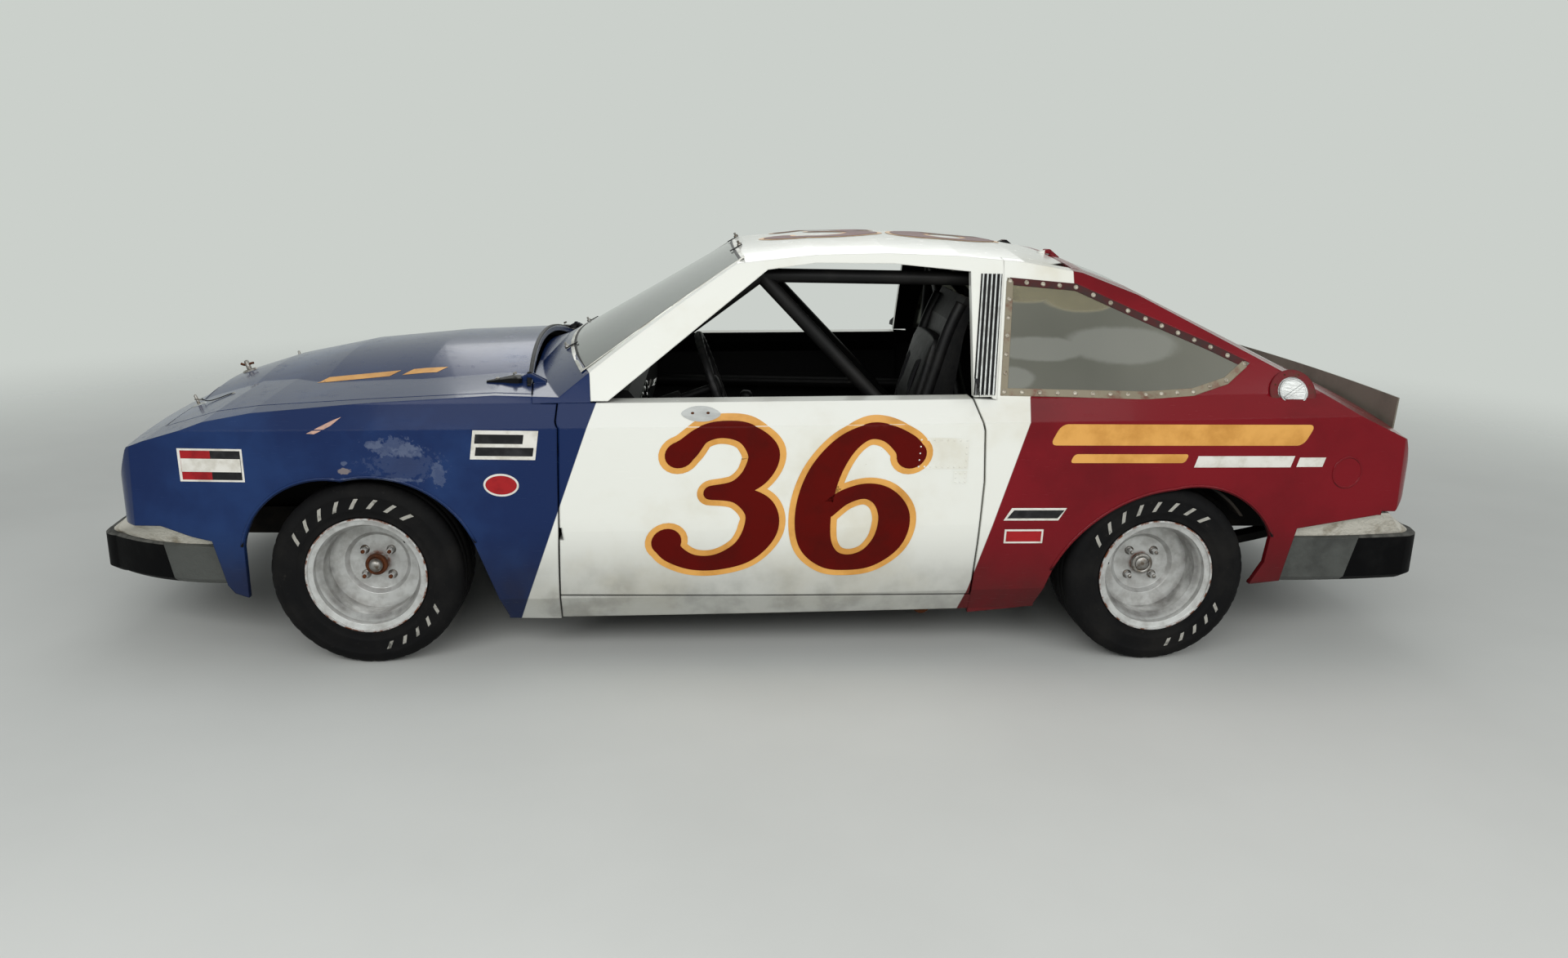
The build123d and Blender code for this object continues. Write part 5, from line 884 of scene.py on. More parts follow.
# Tyres: half profile of (radius, distance from the tyre's middle), turned with sipes in the shoulder
TYRE_PROFILE = [(0.1655, 0.098), (0.17, 0.104), (0.1835, 0.106), (0.185, 0.1095), (0.188, 0.1098),
                (0.19, 0.1092), (0.205, 0.1135), (0.208, 0.115), (0.211, 0.1145), (0.232, 0.1168),
                (0.248, 0.115), (0.25, 0.116), (0.253, 0.1155), (0.264, 0.1125), (0.271, 0.109),
                (0.278, 0.103), (0.2835, 0.096), (0.2862, 0.088), (0.2868, 0.07), (0.2838, 0.069),
                (0.2838, 0.064), (0.287, 0.063), (0.2876, 0.036), (0.2846, 0.035), (0.2846, 0.03),
                (0.2878, 0.029)]
TYRE_STEPS = 180
SIPE_EVERY = 5
SIPE_DEPTH = 0.0016
SIPE_LEAST_R = 0.277
SIPE_SPAN = (0.07, 0.105)

# Plain raised bars on each tyre's outer wall: first angle, step, count, inner and outer radius, lean
TYRE_BARS = [(28, 13.5, 8, 0.214, 0.244, 5.0), (205, 12.0, 5, 0.217, 0.239, 4.0)]
TYRE_BAR_HALF = 0.0062
TYRE_WALL_Y = 0.1176
TYRE_WALL_R = 0.23
TYRE_WALL_FALL = 0.0012 / 0.017

BOLT_CIRCLE_R = 0.05715
WHEEL_FACE_Y = 0.727
NUT_FOOT = 0.009
VALVE_R = 0.0038
VALVE_START = (0.1475, 0.76)
VALVE_RUN = (-0.03, 0.014)


def add_tyre(name, axle_x, side):
    profile = TYRE_PROFILE + [(radius, -across) for radius, across in reversed(TYRE_PROFILE)]
    points = []
    for step, (cosine, sine) in enumerate(turns(TYRE_STEPS)):
        for radius, across in profile:
            shoulder = SIPE_SPAN[0] < abs(across) < SIPE_SPAN[1] and radius > SIPE_LEAST_R
            near = radius - (SIPE_DEPTH if shoulder and step % SIPE_EVERY == 0 else 0.0)
            points.append((axle_x + near * cosine, side * (TRACK_Y + across), HUB_Z + near * sine))
    faces = [face[::side] for face in bands(TYRE_STEPS, len(profile), closed=True)]
    tyre = mesh_piece(f"tread_{name}", points, faces, "tyre_rubber", f"wheel_{name}")
    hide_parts(f"tyre_{name}")


def add_tyre_bars(name, axle_x, side):
    points, faces = [], []
    for first, step, count, inner, outer, lean in TYRE_BARS:
        for bar in range(count):
            faces += moved([face[::-side] for face in bands(3, 2, ring=False)], len(points))
            for radius, share in ((inner, 0.0), ((inner + outer) / 2, 0.5), (outer, 1.0)):
                across = TRACK_Y + TYRE_WALL_Y - TYRE_WALL_FALL * abs(radius - TYRE_WALL_R)
                for edge in (-1, 1):
                    angle = math.radians(first + step * bar + lean * share) + edge * TYRE_BAR_HALF / radius
                    points.append((axle_x + radius * math.cos(angle), side * across,
                                   HUB_Z + radius * math.sin(angle)))
    mesh_piece(f"tyre_bars_{name}", points, faces, "tyre_white", f"wheel_{name}", smooth=False)


def add_wheel_details(name, axle_x, side):
    body, out = f"wheel_{name}", side * LEFTWARD
    front = name.startswith("front")
    for index, (cosine, sine) in enumerate(turns(4, 0.5)):
        x, z = axle_x + BOLT_CIRCLE_R * cosine, HUB_Z + BOLT_CIRCLE_R * sine
        centre = (x, side * (WHEEL_FACE_Y + NUT_FOOT), z)
        turned("nut_washer", centre, out, body, f"_{index}_{name}")
        turned("stud", centre, out, body, f"_{index}_{name}", "rusty_steel" if front else None)
    for kind in ("spindle_cap", "bore_ring") if front else ("hub_cap",):
        turned(kind, (axle_x, side * WHEEL_FACE_Y, HUB_Z), out, body, f"_{name}")
    angle = math.radians(140 if front else 4)
    stem = []
    for share in (0.0, 0.4, 0.8, 1.0):
        radius, across = [start + run * share for start, run in zip(VALVE_START, VALVE_RUN)]
        stem.append((axle_x + radius * math.cos(angle), side * across, HUB_Z + radius * math.sin(angle)))
    tube(f"valve_{name}", stem, VALVE_R, "black_plastic", body, 10)


def add_wheels():
    for end, axle_x in (("front", FRONT_X), ("rear", REAR_X)):
        for side, flank in SIDES:
            for add in (add_tyre, add_tyre_bars, add_wheel_details):
                add(f"{end}_{flank}", axle_x, side)


# Raised strips that follow the skin
def ribbon(name, path, width, placer, material, body="chassis", lift=0.0016, closed=False, edge=0.0012):
    """Strip of one width along (u, v) points, laid on the skin by placer, with a bevelled edge."""
    corners = [Vector(corner) for corner in path]
    half = ((0, 0), (lift - edge, 0), (lift, edge))
    section = [(-1, *corner) for corner in half] + [(1, *corner) for corner in half[::-1]]
    points = []
    for index, corner in enumerate(corners):
        before, after = neighbours(corners, index, closed)
        along = (after - before).normalized()
        first = (corner - before).normalized() if (corner - before).length else along
        across = Vector((-along.y, along.x)) / max(0.5, abs(along.dot(first)))
        for flank, rise, inset in section:
            spot = corner + across * flank * (width / 2 - inset)
            points.append(placer(spot.x, spot.y, rise)[0])
    rows, count = len(corners), len(section)
    faces = [[a, d, c, b] for a, b, c, d in bands(rows, count, closed, ring=False)]
    if not closed:
        faces += [list(range(count))] + moved([list(range(count))[::-1]], (rows - 1) * count)
    return mesh_piece(name, points, faces, material, body, smooth=False)


QUARTER_WINDOW = [(-0.668, 0.852), (-0.704, 1.192), (-0.922, 1.176), (-1.139, 1.085), (-1.342, 1.004),
                  (-1.462, 0.95), (-1.385, 0.89), (-1.274, 0.856), (-1.12, 0.846)]
BAND_INSET = 0.009
BAND_WIDTH = 0.022
BAND_SPACING = 0.03
RIVET_SPACING = 0.056
RIVET_R = 0.0078
PILLAR_PLATE = [(-0.582, 0.853), (-0.65, 0.853), (-0.689, 1.203), (-0.622, 1.203)]


def add_quarter_windows():
    line = grow(QUARTER_WINDOW, -BAND_INSET)
    for side, end in SIDES:
        place = flank_placer(side)
        ribbon(f"window_band_top_{end}", even(line[1:6], BAND_SPACING), BAND_WIDTH, place, "band_rust")
        low = even(line[5:] + line[:2], BAND_SPACING)
        ribbon(f"window_band_low_{end}", low, BAND_WIDTH, place, "band_grey", lift=0.0019)
        heads = [place(x, z, 0.0018) for x, z in even(line, RIVET_SPACING, closed=True)]
        rivets(f"window_rivets_{end}", heads, RIVET_R, "rivet_dull")
        lay_mark(f"pillar_plate_{end}", flat_mesh(PILLAR_PLATE[::side]), place, "decal_black", lift=0.0008)


HOOD_PIN = (1.856, 0.48)
PIN_RING_R = 0.012
PIN_RING_RISE = 0.017
PIN_RING_TILT = 0.004
PIN_WIRE_RUN = 0.085
LATCH_Y = 0.045
LATCH_BAR = 0.045


def add_hood_pins():
    pin_x, pin_y = HOOD_PIN
    for side, end in SIDES:
        place, normal = on_top(pin_x, side * pin_y)
        turned("hood_pin_plate", place, normal, "hood", f"_{end}")
        turned("hood_pin", place, normal, "hood", f"_{end}")
        ring = [place + normal * (PIN_RING_RISE + PIN_RING_TILT * sine)
                + PIN_RING_R * Vector((cosine - 0.5, sine, 0)) for cosine, sine in turns(20)]
        tube(f"hood_pin_ring_{end}", ring, 0.0012, "steel_bolt", "hood", 8, closed=True)
        wire = []
        for step in range(15):
            share = step / 14
            y = side * (pin_y + 0.022 * math.sin(share * math.pi * 1.5))
            wire.append(on_top(pin_x - 0.015 - PIN_WIRE_RUN * share, y, 0.0022 + 0.014 * (1 - share) ** 4)[0])
        tube(f"hood_pin_wire_{end}", wire, 0.0016, "black_plastic", "hood", 8)
        head = on_top(pin_x - 0.102, side * (pin_y - 0.021), 0.001)
        rivets(f"hood_pin_rivet_{end}", [head], 0.006, "steel_bolt", "hood")
    place, normal = on_top(pin_x, LATCH_Y)
    turned("hood_latch_base", place, normal, "hood")
    turned("hood_latch_post", place, normal, "hood")
    handle = [place + normal * 0.026 + Vector((LATCH_BAR * (step / 8 - 0.5), 0, 0.004 * math.cos(step * 0.6)))
              for step in range(9)]
    tube("hood_latch_bar", handle, 0.0042, "rusty_steel", "hood")


# Rear edge of the hood: x on the middle line, x and y of its corner, and a painted shadow of the gap along
# it. Hinge plates over it, as (u, v) outlines
HOOD_REAR_X = 0.806
HOOD_CORNER = (0.752, 0.782)
GAP_SHADOW_REACH = 0.7
GAP_SHADOW_STEPS = 48
HINGE_PLACE = (0.775, 0.643)
HINGE_REACH = 0.052
HINGE_PLATE = [(0.082, -0.006), (0.082, 0.006), (0.004, 0.024), (-0.02, 0.026), (-0.028, 0.018),
               (-0.028, -0.018), (-0.02, -0.026), (0.004, -0.024)]
HINGE_LAYERS = ((1.0, -0.001, 0.0), (1.0, 0.0045, 0.01), (0.86, 0.006, 0.01))
HINGE_BOLTS = ((0.04, 0.014), (0.1, 0.006))


def arc_x(corner_x, middle_x, half, y):
    """x at y of the arc through (middle_x, 0) and both (corner_x, half) and (corner_x, -half)."""
    rise = middle_x - corner_x
    radius = (half ** 2 + rise ** 2) / (2 * abs(rise))
    return middle_x - math.copysign(radius - math.sqrt(radius ** 2 - y ** 2), rise)


def add_hood_rear():
    # Black strip along the hood's rear edge: a painted shadow of the gap between hood and cowl
    line = []
    for step in range(GAP_SHADOW_STEPS + 1):
        y = GAP_SHADOW_REACH * (2 * step / GAP_SHADOW_STEPS - 1)
        line.append((arc_x(HOOD_CORNER[0], HOOD_REAR_X, HOOD_CORNER[1], y) + 0.008, y))
    ribbon("hood_rear_gap_shadow", line, 0.013, on_top, "black_plastic", "hood", lift=0.0045, edge=0.002)
    x, y = HINGE_PLACE
    count = len(HINGE_PLATE)
    for side, end in SIDES:
        points = []
        for share, rise, knuckle in HINGE_LAYERS:
            points += [on_top(x + HINGE_REACH + u * share, side * (y + v * share),
                              rise + (knuckle if u < 0.01 else 0))[0] for u, v in HINGE_PLATE]
        faces = bands(3, count) + moved([range(count)], 2 * count)
        mesh_piece(f"hood_hinge_plate_{end}", points, faces, "black_steel", "hood", smooth=False)
        for index, (u, rise) in enumerate(HINGE_BOLTS):
            turned("hood_hinge_bolt", *on_top(x + u, side * y, rise), "hood", f"_{index}_{end}")


# Windscreen edges in the plane of the screen: u across and v up, with half widths at its corners
SCREEN_ORIGIN = Vector((0.408, 0.0, 1.091))
SCREEN_SLOPE = math.radians(29.7)
SCREEN_OUT = Vector((math.sin(SCREEN_SLOPE), 0, math.cos(SCREEN_SLOPE)))
SCREEN_UP = SCREEN_OUT.cross(LEFTWARD)
SCREEN_LOW = (0.742, -0.262)
SCREEN_LOW_MIDDLE = -0.33
SCREEN_HIGH = (0.592, 0.322)
SCREEN_HIGH_MIDDLE = 0.314
SCREEN_SKIN = surface("windscreen")
SCREEN_START = 0.6
SCREEN_OVER = 0.03

# Strips round the screen: name, inset, width, material, height
SCREEN_STRIPS = (("screen_trim", -0.003, 0.012, "trim_bright", 0.003),
                 ("screen_rubber", 0.008, 0.008, "black_plastic", 0.002))

# Clips on the trim: u, v, and the way out
SCREEN_CLIPS = ((-0.28, SCREEN_HIGH_MIDDLE + 0.002, 1), (0.28, SCREEN_HIGH_MIDDLE + 0.002, 1),
                (-0.36, SCREEN_LOW_MIDDLE + 0.012, -1), (0.36, SCREEN_LOW_MIDDLE + 0.012, -1))
CLIP_PLATE = ((-0.007, -0.022), (0.007, -0.022), (0.007, 0.024), (-0.007, 0.024))
CLIP_RISES = (0.0035, 0.0065)


def on_screen(u, v, lift=0.0):
    """Point and normal on the windscreen, or level with its nearest edge, at u across and v up the screen."""
    start = SCREEN_ORIGIN + LEFTWARD * u + SCREEN_UP * v + SCREEN_OUT * SCREEN_START
    place, normal, _, _ = SCREEN_SKIN.ray_cast(start, -SCREEN_OUT)
    if place is None:
        near = SCREEN_SKIN.find_nearest(start - SCREEN_OUT * (SCREEN_START - SCREEN_OVER))[0]
        place = start - SCREEN_OUT * (start - near).dot(SCREEN_OUT)
        normal = SCREEN_OUT
    if normal.dot(SCREEN_OUT) < 0.5:
        normal = SCREEN_OUT
    return place + lift * normal, normal


def screen_edge(corner, middle_v, count):
    """Points of the screen's top or bottom edge, from positive u to negative."""
    half, edge_v = corner
    places = [half * (1 - 2 * index / count) for index in range(count + 1)]
    return [(u, arc_x(edge_v, middle_v, half, u)) for u in places]


def add_windscreen_trim():
    low, high = Vector(SCREEN_LOW), Vector(SCREEN_HIGH)
    left = [low.lerp(high, index / 16) for index in range(1, 16)]
    loop = screen_edge(SCREEN_LOW, SCREEN_LOW_MIDDLE, 40) + [(-u, v) for u, v in left]
    loop += screen_edge(SCREEN_HIGH, SCREEN_HIGH_MIDDLE, 36)[::-1] + left[::-1]
    for name, inset, width, material, lift in SCREEN_STRIPS:
        ribbon(name, grow(loop, -inset), width, on_screen, material, lift=lift, closed=True, edge=0.001)
    for index, (u, v, out) in enumerate(SCREEN_CLIPS):
        points = [on_screen(u + du, v + out * dv, rise)[0] for rise in CLIP_RISES for du, dv in CLIP_PLATE]
        mesh_piece(f"screen_clip_{index}", points, capped(2, 4), "black_steel", smooth=False)
        turned("screen_clip_bolt", *on_screen(u, v + out * 0.016, 0.0062), end=f"_{index}")


# Patches on the sides. Each door patch has its outline, and its rivets' inset, spacing and radius
HANDLE_PATCH = (0.243, 0.795)
HANDLE_HOLES = ((0.268, 0.796), (0.222, 0.797))
DOOR_PATCHES = (("door_patch", [(-0.408, 0.738), (-0.56, 0.736), (-0.56, 0.64), (-0.402, 0.641)],
                 0.007, 0.019, 0.003),
                ("door_patch_small", [(-0.518, 0.634), (-0.559, 0.634), (-0.559, 0.594), (-0.518, 0.594)],
                 0.006, 0.013, 0.0028))
SCRATCH = [(1.385, 0.731), (1.362, 0.73), (1.318, 0.752), (1.294, 0.773), (1.316, 0.765), (1.352, 0.748)]
QUARTER_PATCH = ellipse(0.092, 0.098, 36, -1.763, 0.629)


def handle_patch():
    """Oval with slightly squared ends."""
    x, z = HANDLE_PATCH
    outline = []
    for step, (cosine, sine) in enumerate(turns(28)):
        bulge = 1 + 0.05 * math.cos(4 * 2 * math.pi * step / 28)
        outline.append((x + 0.056 * bulge * cosine, z + 0.0185 * sine))
    return outline


def add_side_patches():
    for side, end in SIDES:
        place, door = flank_placer(side), f"door_{end}"
        lay_mark(f"handle_patch_{end}", flat_mesh(handle_patch()), place, "bare_aluminium", door, lift=0.0012)
        holes = [place(x, z, 0.0016) for x, z in HANDLE_HOLES]
        rivets(f"handle_patch_holes_{end}", holes, 0.0052, "rusty_steel", door, height=0.2)
        for name, patch, inset, spacing, radius in DOOR_PATCHES:
            lay_mark(f"{name}_{end}", flat_mesh(patch), place, "patch_cream", door, lift=0.001)
            heads = [place(x, z, 0.001) for x, z in even(grow(patch, -inset), spacing, closed=True)]
            rivets(f"{name}_rivets_{end}", heads, radius, "patch_cream", door, height=0.6)
        lay_mark(f"fender_scratch_{end}", flat_mesh(SCRATCH), place, "bare_primer", lift=0.0004)
        lay_mark(f"quarter_patch_{end}", flat_mesh(QUARTER_PATCH), place, "paint_red", lift=0.0012)
        weld = even(QUARTER_PATCH, 0.012, closed=True)
        ribbon(f"quarter_patch_weld_{end}", weld, 0.006, place, "paint_red", lift=0.0026, closed=True)


FILLER_CENTRE = Vector((-1.59, 0.803, 0.866))
FILLER_OUT = Vector((0, 0.905, 0.425)).normalized()
FILLER_SCREW_R = 0.0595


def add_filler():
    up = FORWARD.cross(FILLER_OUT)
    middle = FILLER_CENTRE + FILLER_OUT * 0.0048
    heads = [(middle + FILLER_SCREW_R * (cosine * FORWARD + sine * up), FILLER_OUT)
             for cosine, sine in turns(8, 0.5)]
    rivets("filler_screws", heads, 0.0046, "rusty_steel", height=0.45)
    turned("filler_ring", FILLER_CENTRE, FILLER_OUT)
    turned("filler_cap_edge", FILLER_CENTRE, FILLER_OUT)


# Wheel arches in the side view: ends, middle and two points between, on two arcs
ARCHES = (("front", "paint_fender", [(1.6, 0.38), (1.512, 0.527), (1.3, 0.586), (1.06, 0.556), (0.921, 0.4)]),
          ("rear", "paint_roof", [(-0.853, 0.31), (-0.985, 0.479), (-1.215, 0.572), (-1.44, 0.537),
                                  (-1.546, 0.418)]))
ARCH_STEPS = 18
ARCH_LIP_R = 0.0045
ARCH_LIP_OUT = 0.006


def circle_of(first, second, third):
    """Centre and radius of the circle through three flat points."""
    a, b = Vector(second) - Vector(first), Vector(third) - Vector(first)
    twice = 2 * (a.x * b.y - a.y * b.x)
    centre = Vector((b.y * a.dot(a) - a.y * b.dot(b), a.x * b.dot(b) - b.x * a.dot(a))) / twice
    return Vector(first) + centre, centre.length


def arch_line(points):
    """Dense points along the two arcs of a wheel arch."""
    line = []
    for start in (0, 2):
        first, second, third = points[start:start + 3]
        centre, radius = circle_of(first, second, third)
        begin, end = [math.atan2(z - centre.y, x - centre.x) for x, z in (first, third)]
        if abs(end - begin) > math.pi:
            end += math.copysign(2 * math.pi, begin - end)
        for step in range(ARCH_STEPS + (1 if start else 0)):
            angle = begin + (end - begin) * step / ARCH_STEPS
            line.append((centre.x + radius * math.cos(angle), centre.y + radius * math.sin(angle)))
    return line


def add_arch_lips():
    """Rolled edge round each wheel arch."""
    for name, material, points in ARCHES:
        line = arch_line(points)
        outward = grow(line + [(line[-1][0], 0.0), (line[0][0], 0.0)], ARCH_LIP_OUT)[:len(line)]
        for side, end in SIDES:
            path = [on_side(x, z, side, -0.0005)[0] for x, z in outward]
            tube(f"arch_lip_{name}_{end}", path, ARCH_LIP_R, material)


# Seat and belts. Paths give x, distance from the seat's middle, and z
SEAT_Y = 0.365
SEAT_WIDTH = 0.325
SEAT_SWELL = 0.012
PAD_CUTS = 15
BELT_WIDTH = 0.05
BELT_HALF = 0.0018
PADS = (("seat_cushion", (-0.235, 0.432), (0.3, 0.06), 4, 4),
        ("seat_back", (-0.462, 0.735), (0.5, 0.05), 74, 6))
SEAT_ROLL = [(-0.02, 0.186, 0.452), (-0.15, 0.186, 0.462), (-0.33, 0.186, 0.485), (-0.43, 0.186, 0.6),
             (-0.49, 0.186, 0.8), (-0.548, 0.186, 1.000), (-0.59, 0.186, 1.1)]
SHOULDER_BELT = [(-0.64, 0.09, 1.03), (-0.57, 0.088, 1.000), (-0.478, 0.085, 0.9), (-0.425, 0.08, 0.72),
                 (-0.37, 0.06, 0.56), (-0.3, 0.02, 0.505)]
LAP_BELT = [(-0.4, 0.2, 0.43), (-0.37, 0.16, 0.52), (-0.31, 0.07, 0.512), (-0.29, 0.0, 0.508)]
BUCKLE = (-0.3, SEAT_Y, 0.508)


def strap(name, path, across):
    """Webbing along points, flat across one direction."""
    points = []
    side = Vector(across).normalized()
    for index, place in enumerate(path):
        before, after = neighbours(path, index)
        out = (after - before).normalized().cross(side).normalized()
        points += [place + side * BELT_WIDTH * share + out * BELT_HALF * rise
                   for share, rise in ((-0.5, -1), (0.5, -1), (0.5, 1), (-0.5, 1))]
    mesh_piece(name, points, capped(len(path), 4), "belt_web")


def padded_block(name, place, size, turn, seams):
    """Cushion: a rounded block whose faces swell and whose edges pull in, with sewn channels."""
    work = bmesh.new()
    bmesh.ops.create_cube(work, size=1.0)
    bmesh.ops.subdivide_edges(work, edges=work.edges[:], cuts=PAD_CUTS, use_grid_fill=True)
    sizes = (size[0], SEAT_WIDTH, size[1])
    for vertex in work.verts:
        spot = 2 * vertex.co
        swell = [1 - abs(value) ** 3 for value in spot]
        out = Vector([math.copysign(SEAT_SWELL, value) * swell[axis - 2] * swell[axis - 1]
                      if abs(value) > 0.99 else 0 for axis, value in enumerate(spot)])
        if spot.z > 0.99:
            groove = abs(math.sin(math.pi * seams * (spot.x + 1) / 2))
            out.z -= SEAT_SWELL * 0.55 * (1 - groove) ** 4
        vertex.co = Vector([value * length / 2 for value, length in zip(spot, sizes)]) + out
    bmesh.ops.smooth_vert(work, verts=work.verts[:], factor=0.5,
                          **{f"use_axis_{axis}": True for axis in "xyz"})
    there = Matrix.Translation((place[0], SEAT_Y, place[1])) @ Matrix.Rotation(math.radians(turn), 4, "Y")
    bmesh.ops.transform(work, matrix=there, verts=work.verts[:])
    piece = worked_piece(name, work, "black_vinyl", "chassis")


def add_seat():
    for pad in PADS:
        padded_block(*pad)
    for side, end in SIDES:
        roll, shoulder, lap = [smooth_line([(x, SEAT_Y + side * y, z) for x, y, z in path], 8)
                               for path in (SEAT_ROLL, SHOULDER_BELT, LAP_BELT)]
        tube(f"seat_roll_{end}", roll, 0.021, "black_vinyl", sides=16)
        strap(f"shoulder_belt_{end}", shoulder, LEFTWARD)
        strap(f"lap_belt_{end}", lap, (1, 0, 0.2))
    turned("belt_buckle", BUCKLE, UPWARD)


# Cockpit: steering wheel, dials (y, z, radius), switches, gear lever and pedals
STEER_CENTRE = Vector((0.195, 0.365, 0.79))
STEER_OUT = Vector((-0.9404, 0, 0.3401)).normalized()
STEER_R = 0.18
STEER_STEPS = 72
GRIP_SIDES = 14
GRIP_R = 0.0138
STEER_BOLT_R = 0.041
DASH_X = 0.44
DIALS = ((0.25, 0.745, 0.04), (0.365, 0.735, 0.05), (0.48, 0.745, 0.04), (0.56, 0.725, 0.026),
         (0.17, 0.725, 0.026))
SWITCHES = (0.06, 0.02, -0.02, -0.06)
SWITCH_Z = 0.73
SWITCH_LEVER = ((0, 0), (0.01, 0.002), (0.025, 0.012))
LEVER = [(0.14, 0.0, 0.396), (0.12, 0.01, 0.52), (0.09, 0.02, 0.63), (0.085, 0.02, 0.68)]
KNOB_PLACE, KNOB_AXIS = (0.085, 0.02, 0.668), (-0.05, 0, 1)
BOOT_PLACE, BOOT_AXIS = (0.14, 0.0, 0.4), (-0.12, 0.03, 1)
PEDALS = (0.44, 0.36, 0.27)
PEDAL_PLACE = (0.598, 0.325)
PEDAL_LEAN = 0.4
PEDAL_DEPTH = 0.01
PEDAL_ARM = ((0.69, 0.56), (0.66, 0.47), (0.62, 0.37), (0.606, 0.33))
PEDAL_PAD = ((-0.028, -0.022), (0.028, -0.022), (0.028, 0.022), (-0.028, 0.022))


def add_steering():
    up = LEFTWARD.cross(STEER_OUT)
    points = []
    for step, (cosine, sine) in enumerate(turns(STEER_STEPS)):
        outward = cosine * LEFTWARD + sine * up
        swell = GRIP_R + 0.0008 * (-1) ** step
        points += [STEER_CENTRE + STEER_R * outward + swell * (near * outward + rise * STEER_OUT)
                   for near, rise in turns(GRIP_SIDES)]
    faces = bands(STEER_STEPS, GRIP_SIDES, closed=True)
    mesh_piece("steering_grip", points, faces, "black_vinyl", "steering_wheel")
    turned("steering_hub_pad", STEER_CENTRE, STEER_OUT, "steering_wheel")
    bolts = [(STEER_CENTRE + STEER_OUT * 0.002 + STEER_BOLT_R * (cosine * LEFTWARD + sine * up), STEER_OUT)
             for cosine, sine in turns(6, 0.5)]
    rivets("steering_bolts", bolts, 0.0035, "steel_bolt", "steering_wheel")


def add_cockpit():
    add_steering()
    for index, (y, z, radius) in enumerate(DIALS):
        centre = Vector((DASH_X, y, z))
        face = [(0.0, 0.001), (radius - 0.004, 0.001)]
        lathe(f"dial_{index}", face, centre, -FORWARD, "dial_face", sides=40)
        rim = [(radius - 0.005, 0.0012), (radius - 0.004, 0.006), (radius, 0.006), (radius + 0.002, 0.0)]
        lathe(f"dial_rim_{index}", rim, centre, -FORWARD, "chrome", sides=40)
        needle = [centre - 0.003 * FORWARD, centre + Vector((-0.003, radius * 0.5, radius * 0.45))]
        tube(f"dial_needle_{index}", needle, 0.0011, "decal_white", sides=6)
    for index, y in enumerate(SWITCHES):
        lever = [(DASH_X - out, y, SWITCH_Z + rise) for out, rise in SWITCH_LEVER]
        tube(f"switch_{index}", lever, 0.0035, "chrome", sides=10)
        turned("switch_nut", (DASH_X, y, SWITCH_Z), -FORWARD, end=f"_{index}")
    tube("shift_lever", smooth_line(LEVER, 6), 0.007, "chrome")
    turned("shift_knob", KNOB_PLACE, KNOB_AXIS)
    turned("shift_boot", BOOT_PLACE, BOOT_AXIS)
    for index, y in enumerate(PEDALS):
        arm = smooth_line([(x, y, z) for x, z in PEDAL_ARM], 6)
        tube(f"pedal_arm_{index}", arm, 0.006, "black_steel", sides=10)
        x, z = PEDAL_PLACE
        points = [(x + dz * PEDAL_LEAN + depth, y + dy, z + dz)
                  for depth in (0, PEDAL_DEPTH) for dy, dz in PEDAL_PAD]
        mesh_piece(f"pedal_pad_{index}", points, capped(2, 4), "black_plastic", smooth=False)


# Studio
FLOOR_REACH = 40.0
FLOOR_FADE = (3.0, 7.5)
BACKDROP, SKY = (203, 208, 203), (226, 230, 232)
SKY_STRENGTH = 0.4
AIM = Vector((0.0, 0.0, 0.6))

# Lamps: name, place, size, power
LAMPS = (("key", (1.8, 5.2, 3.2), 3.2, 150.0), ("fill", (-2.8, 5.0, 2.8), 3.0, 100.0),
         ("back", (0.0, -4.6, 3.6), 3.4, 70.0), ("top", (0.0, 0.0, 5.2), 3.6, 34.0))


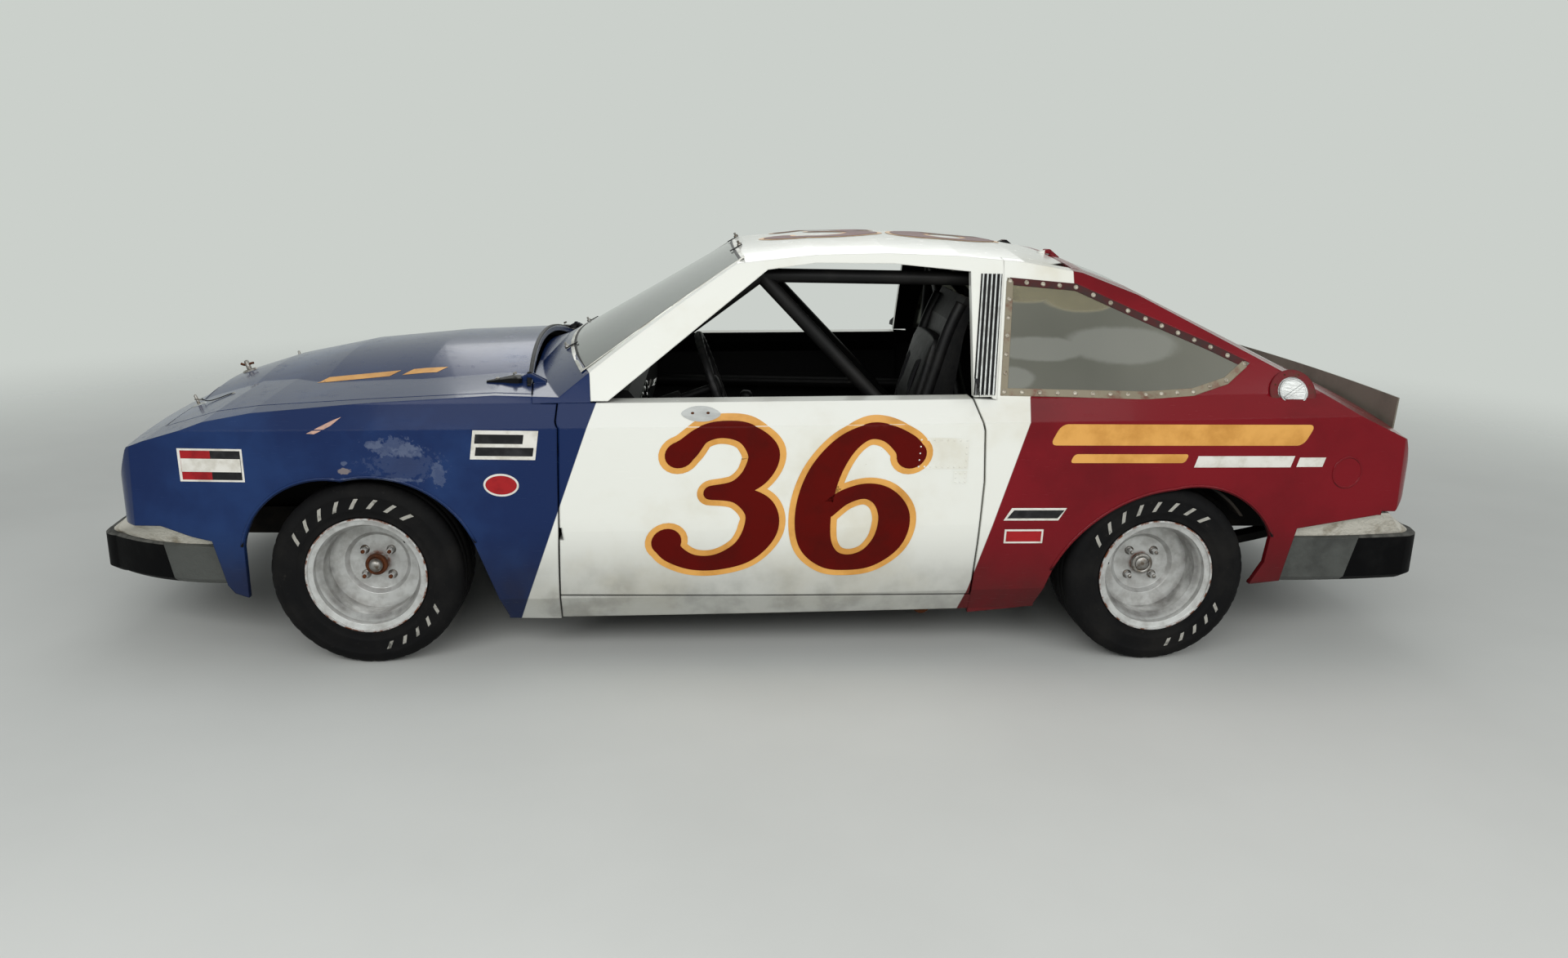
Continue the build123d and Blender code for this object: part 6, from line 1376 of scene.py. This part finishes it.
def add_floor():
    """Pale floor that fades into the backdrop."""
    graph = Graph("floor_pale", rough=0.6, specular=0.1)
    graph.colour(graph.mix(graph.step(graph.noise(0.8), 0.3, 0.7), (208, 210, 206), (202, 204, 200)))
    graph.bump(graph.noise(30.0, 3.0), 0.05, 0.002)
    away = graph.step(graph.far(graph.x, graph.y), *FLOOR_FADE)
    fade = graph.node("MixShader", away, graph.shader.outputs[0], graph.node("BsdfTransparent").outputs[0])
    graph.put(graph.tree.nodes["Material Output"].inputs["Surface"], fade.outputs[0])
    mesh = flat_mesh([(FLOOR_REACH * x, FLOOR_REACH * y) for x, y in ((-1, -1), (1, -1), (1, 1), (-1, 1))])
    mesh.materials.append(graph.material)
    linked(bpy.data.objects.new("floor", mesh))


def add_world():
    """Plain backdrop for what the camera, gloss and glass see, and softer light on the object."""
    world = bpy.data.worlds.new("studio")
    bpy.context.scene.world = world
    world.use_nodes = True
    nodes, join = world.node_tree.nodes, world.node_tree.links.new
    nodes.clear()
    grounds = []
    for colour, strength in ((SKY, SKY_STRENGTH), (BACKDROP, 1.0)):
        ground = nodes.new("ShaderNodeBackground")
        ground.inputs["Color"].default_value = srgb(*colour)
        ground.inputs["Strength"].default_value = strength
        grounds.append(ground.outputs[0])
    path = nodes.new("ShaderNodeLightPath")
    seen = path.outputs["Is Camera Ray"]
    for ray in ("Is Glossy Ray", "Is Transmission Ray"):
        either = nodes.new("ShaderNodeMath")
        either.operation = "MAXIMUM"
        join(seen, either.inputs[0])
        join(path.outputs[ray], either.inputs[1])
        seen = either.outputs[0]
    mix = nodes.new("ShaderNodeMixShader")
    for socket, value in zip(mix.inputs, (seen, *grounds)):
        join(value, socket)
    join(mix.outputs[0], nodes.new("ShaderNodeOutputWorld").inputs["Surface"])


def add_studio():
    add_floor()
    add_world()
    for name, place, size, power in LAMPS:
        lamp = bpy.data.lights.new(name, "AREA")
        lamp.shape = "RECTANGLE"
        lamp.size = size * 1.5
        lamp.size_y = size * 0.6
        lamp.energy = power
        holder = linked(bpy.data.objects.new(name, lamp))
        holder.location = place
        holder.rotation_euler = (AIM - Vector(place)).to_track_quat("-Z", "Y").to_euler()


for make in (set_camera, add_studio, dress_nodes, add_wheels, add_marks, add_quarter_windows, add_hood_pins,
             add_hood_rear, add_windscreen_trim, add_side_patches, add_filler, add_arch_lips, add_seat,
             add_cockpit):
    make()

bpy.context.scene.view_settings.view_transform = "Standard"
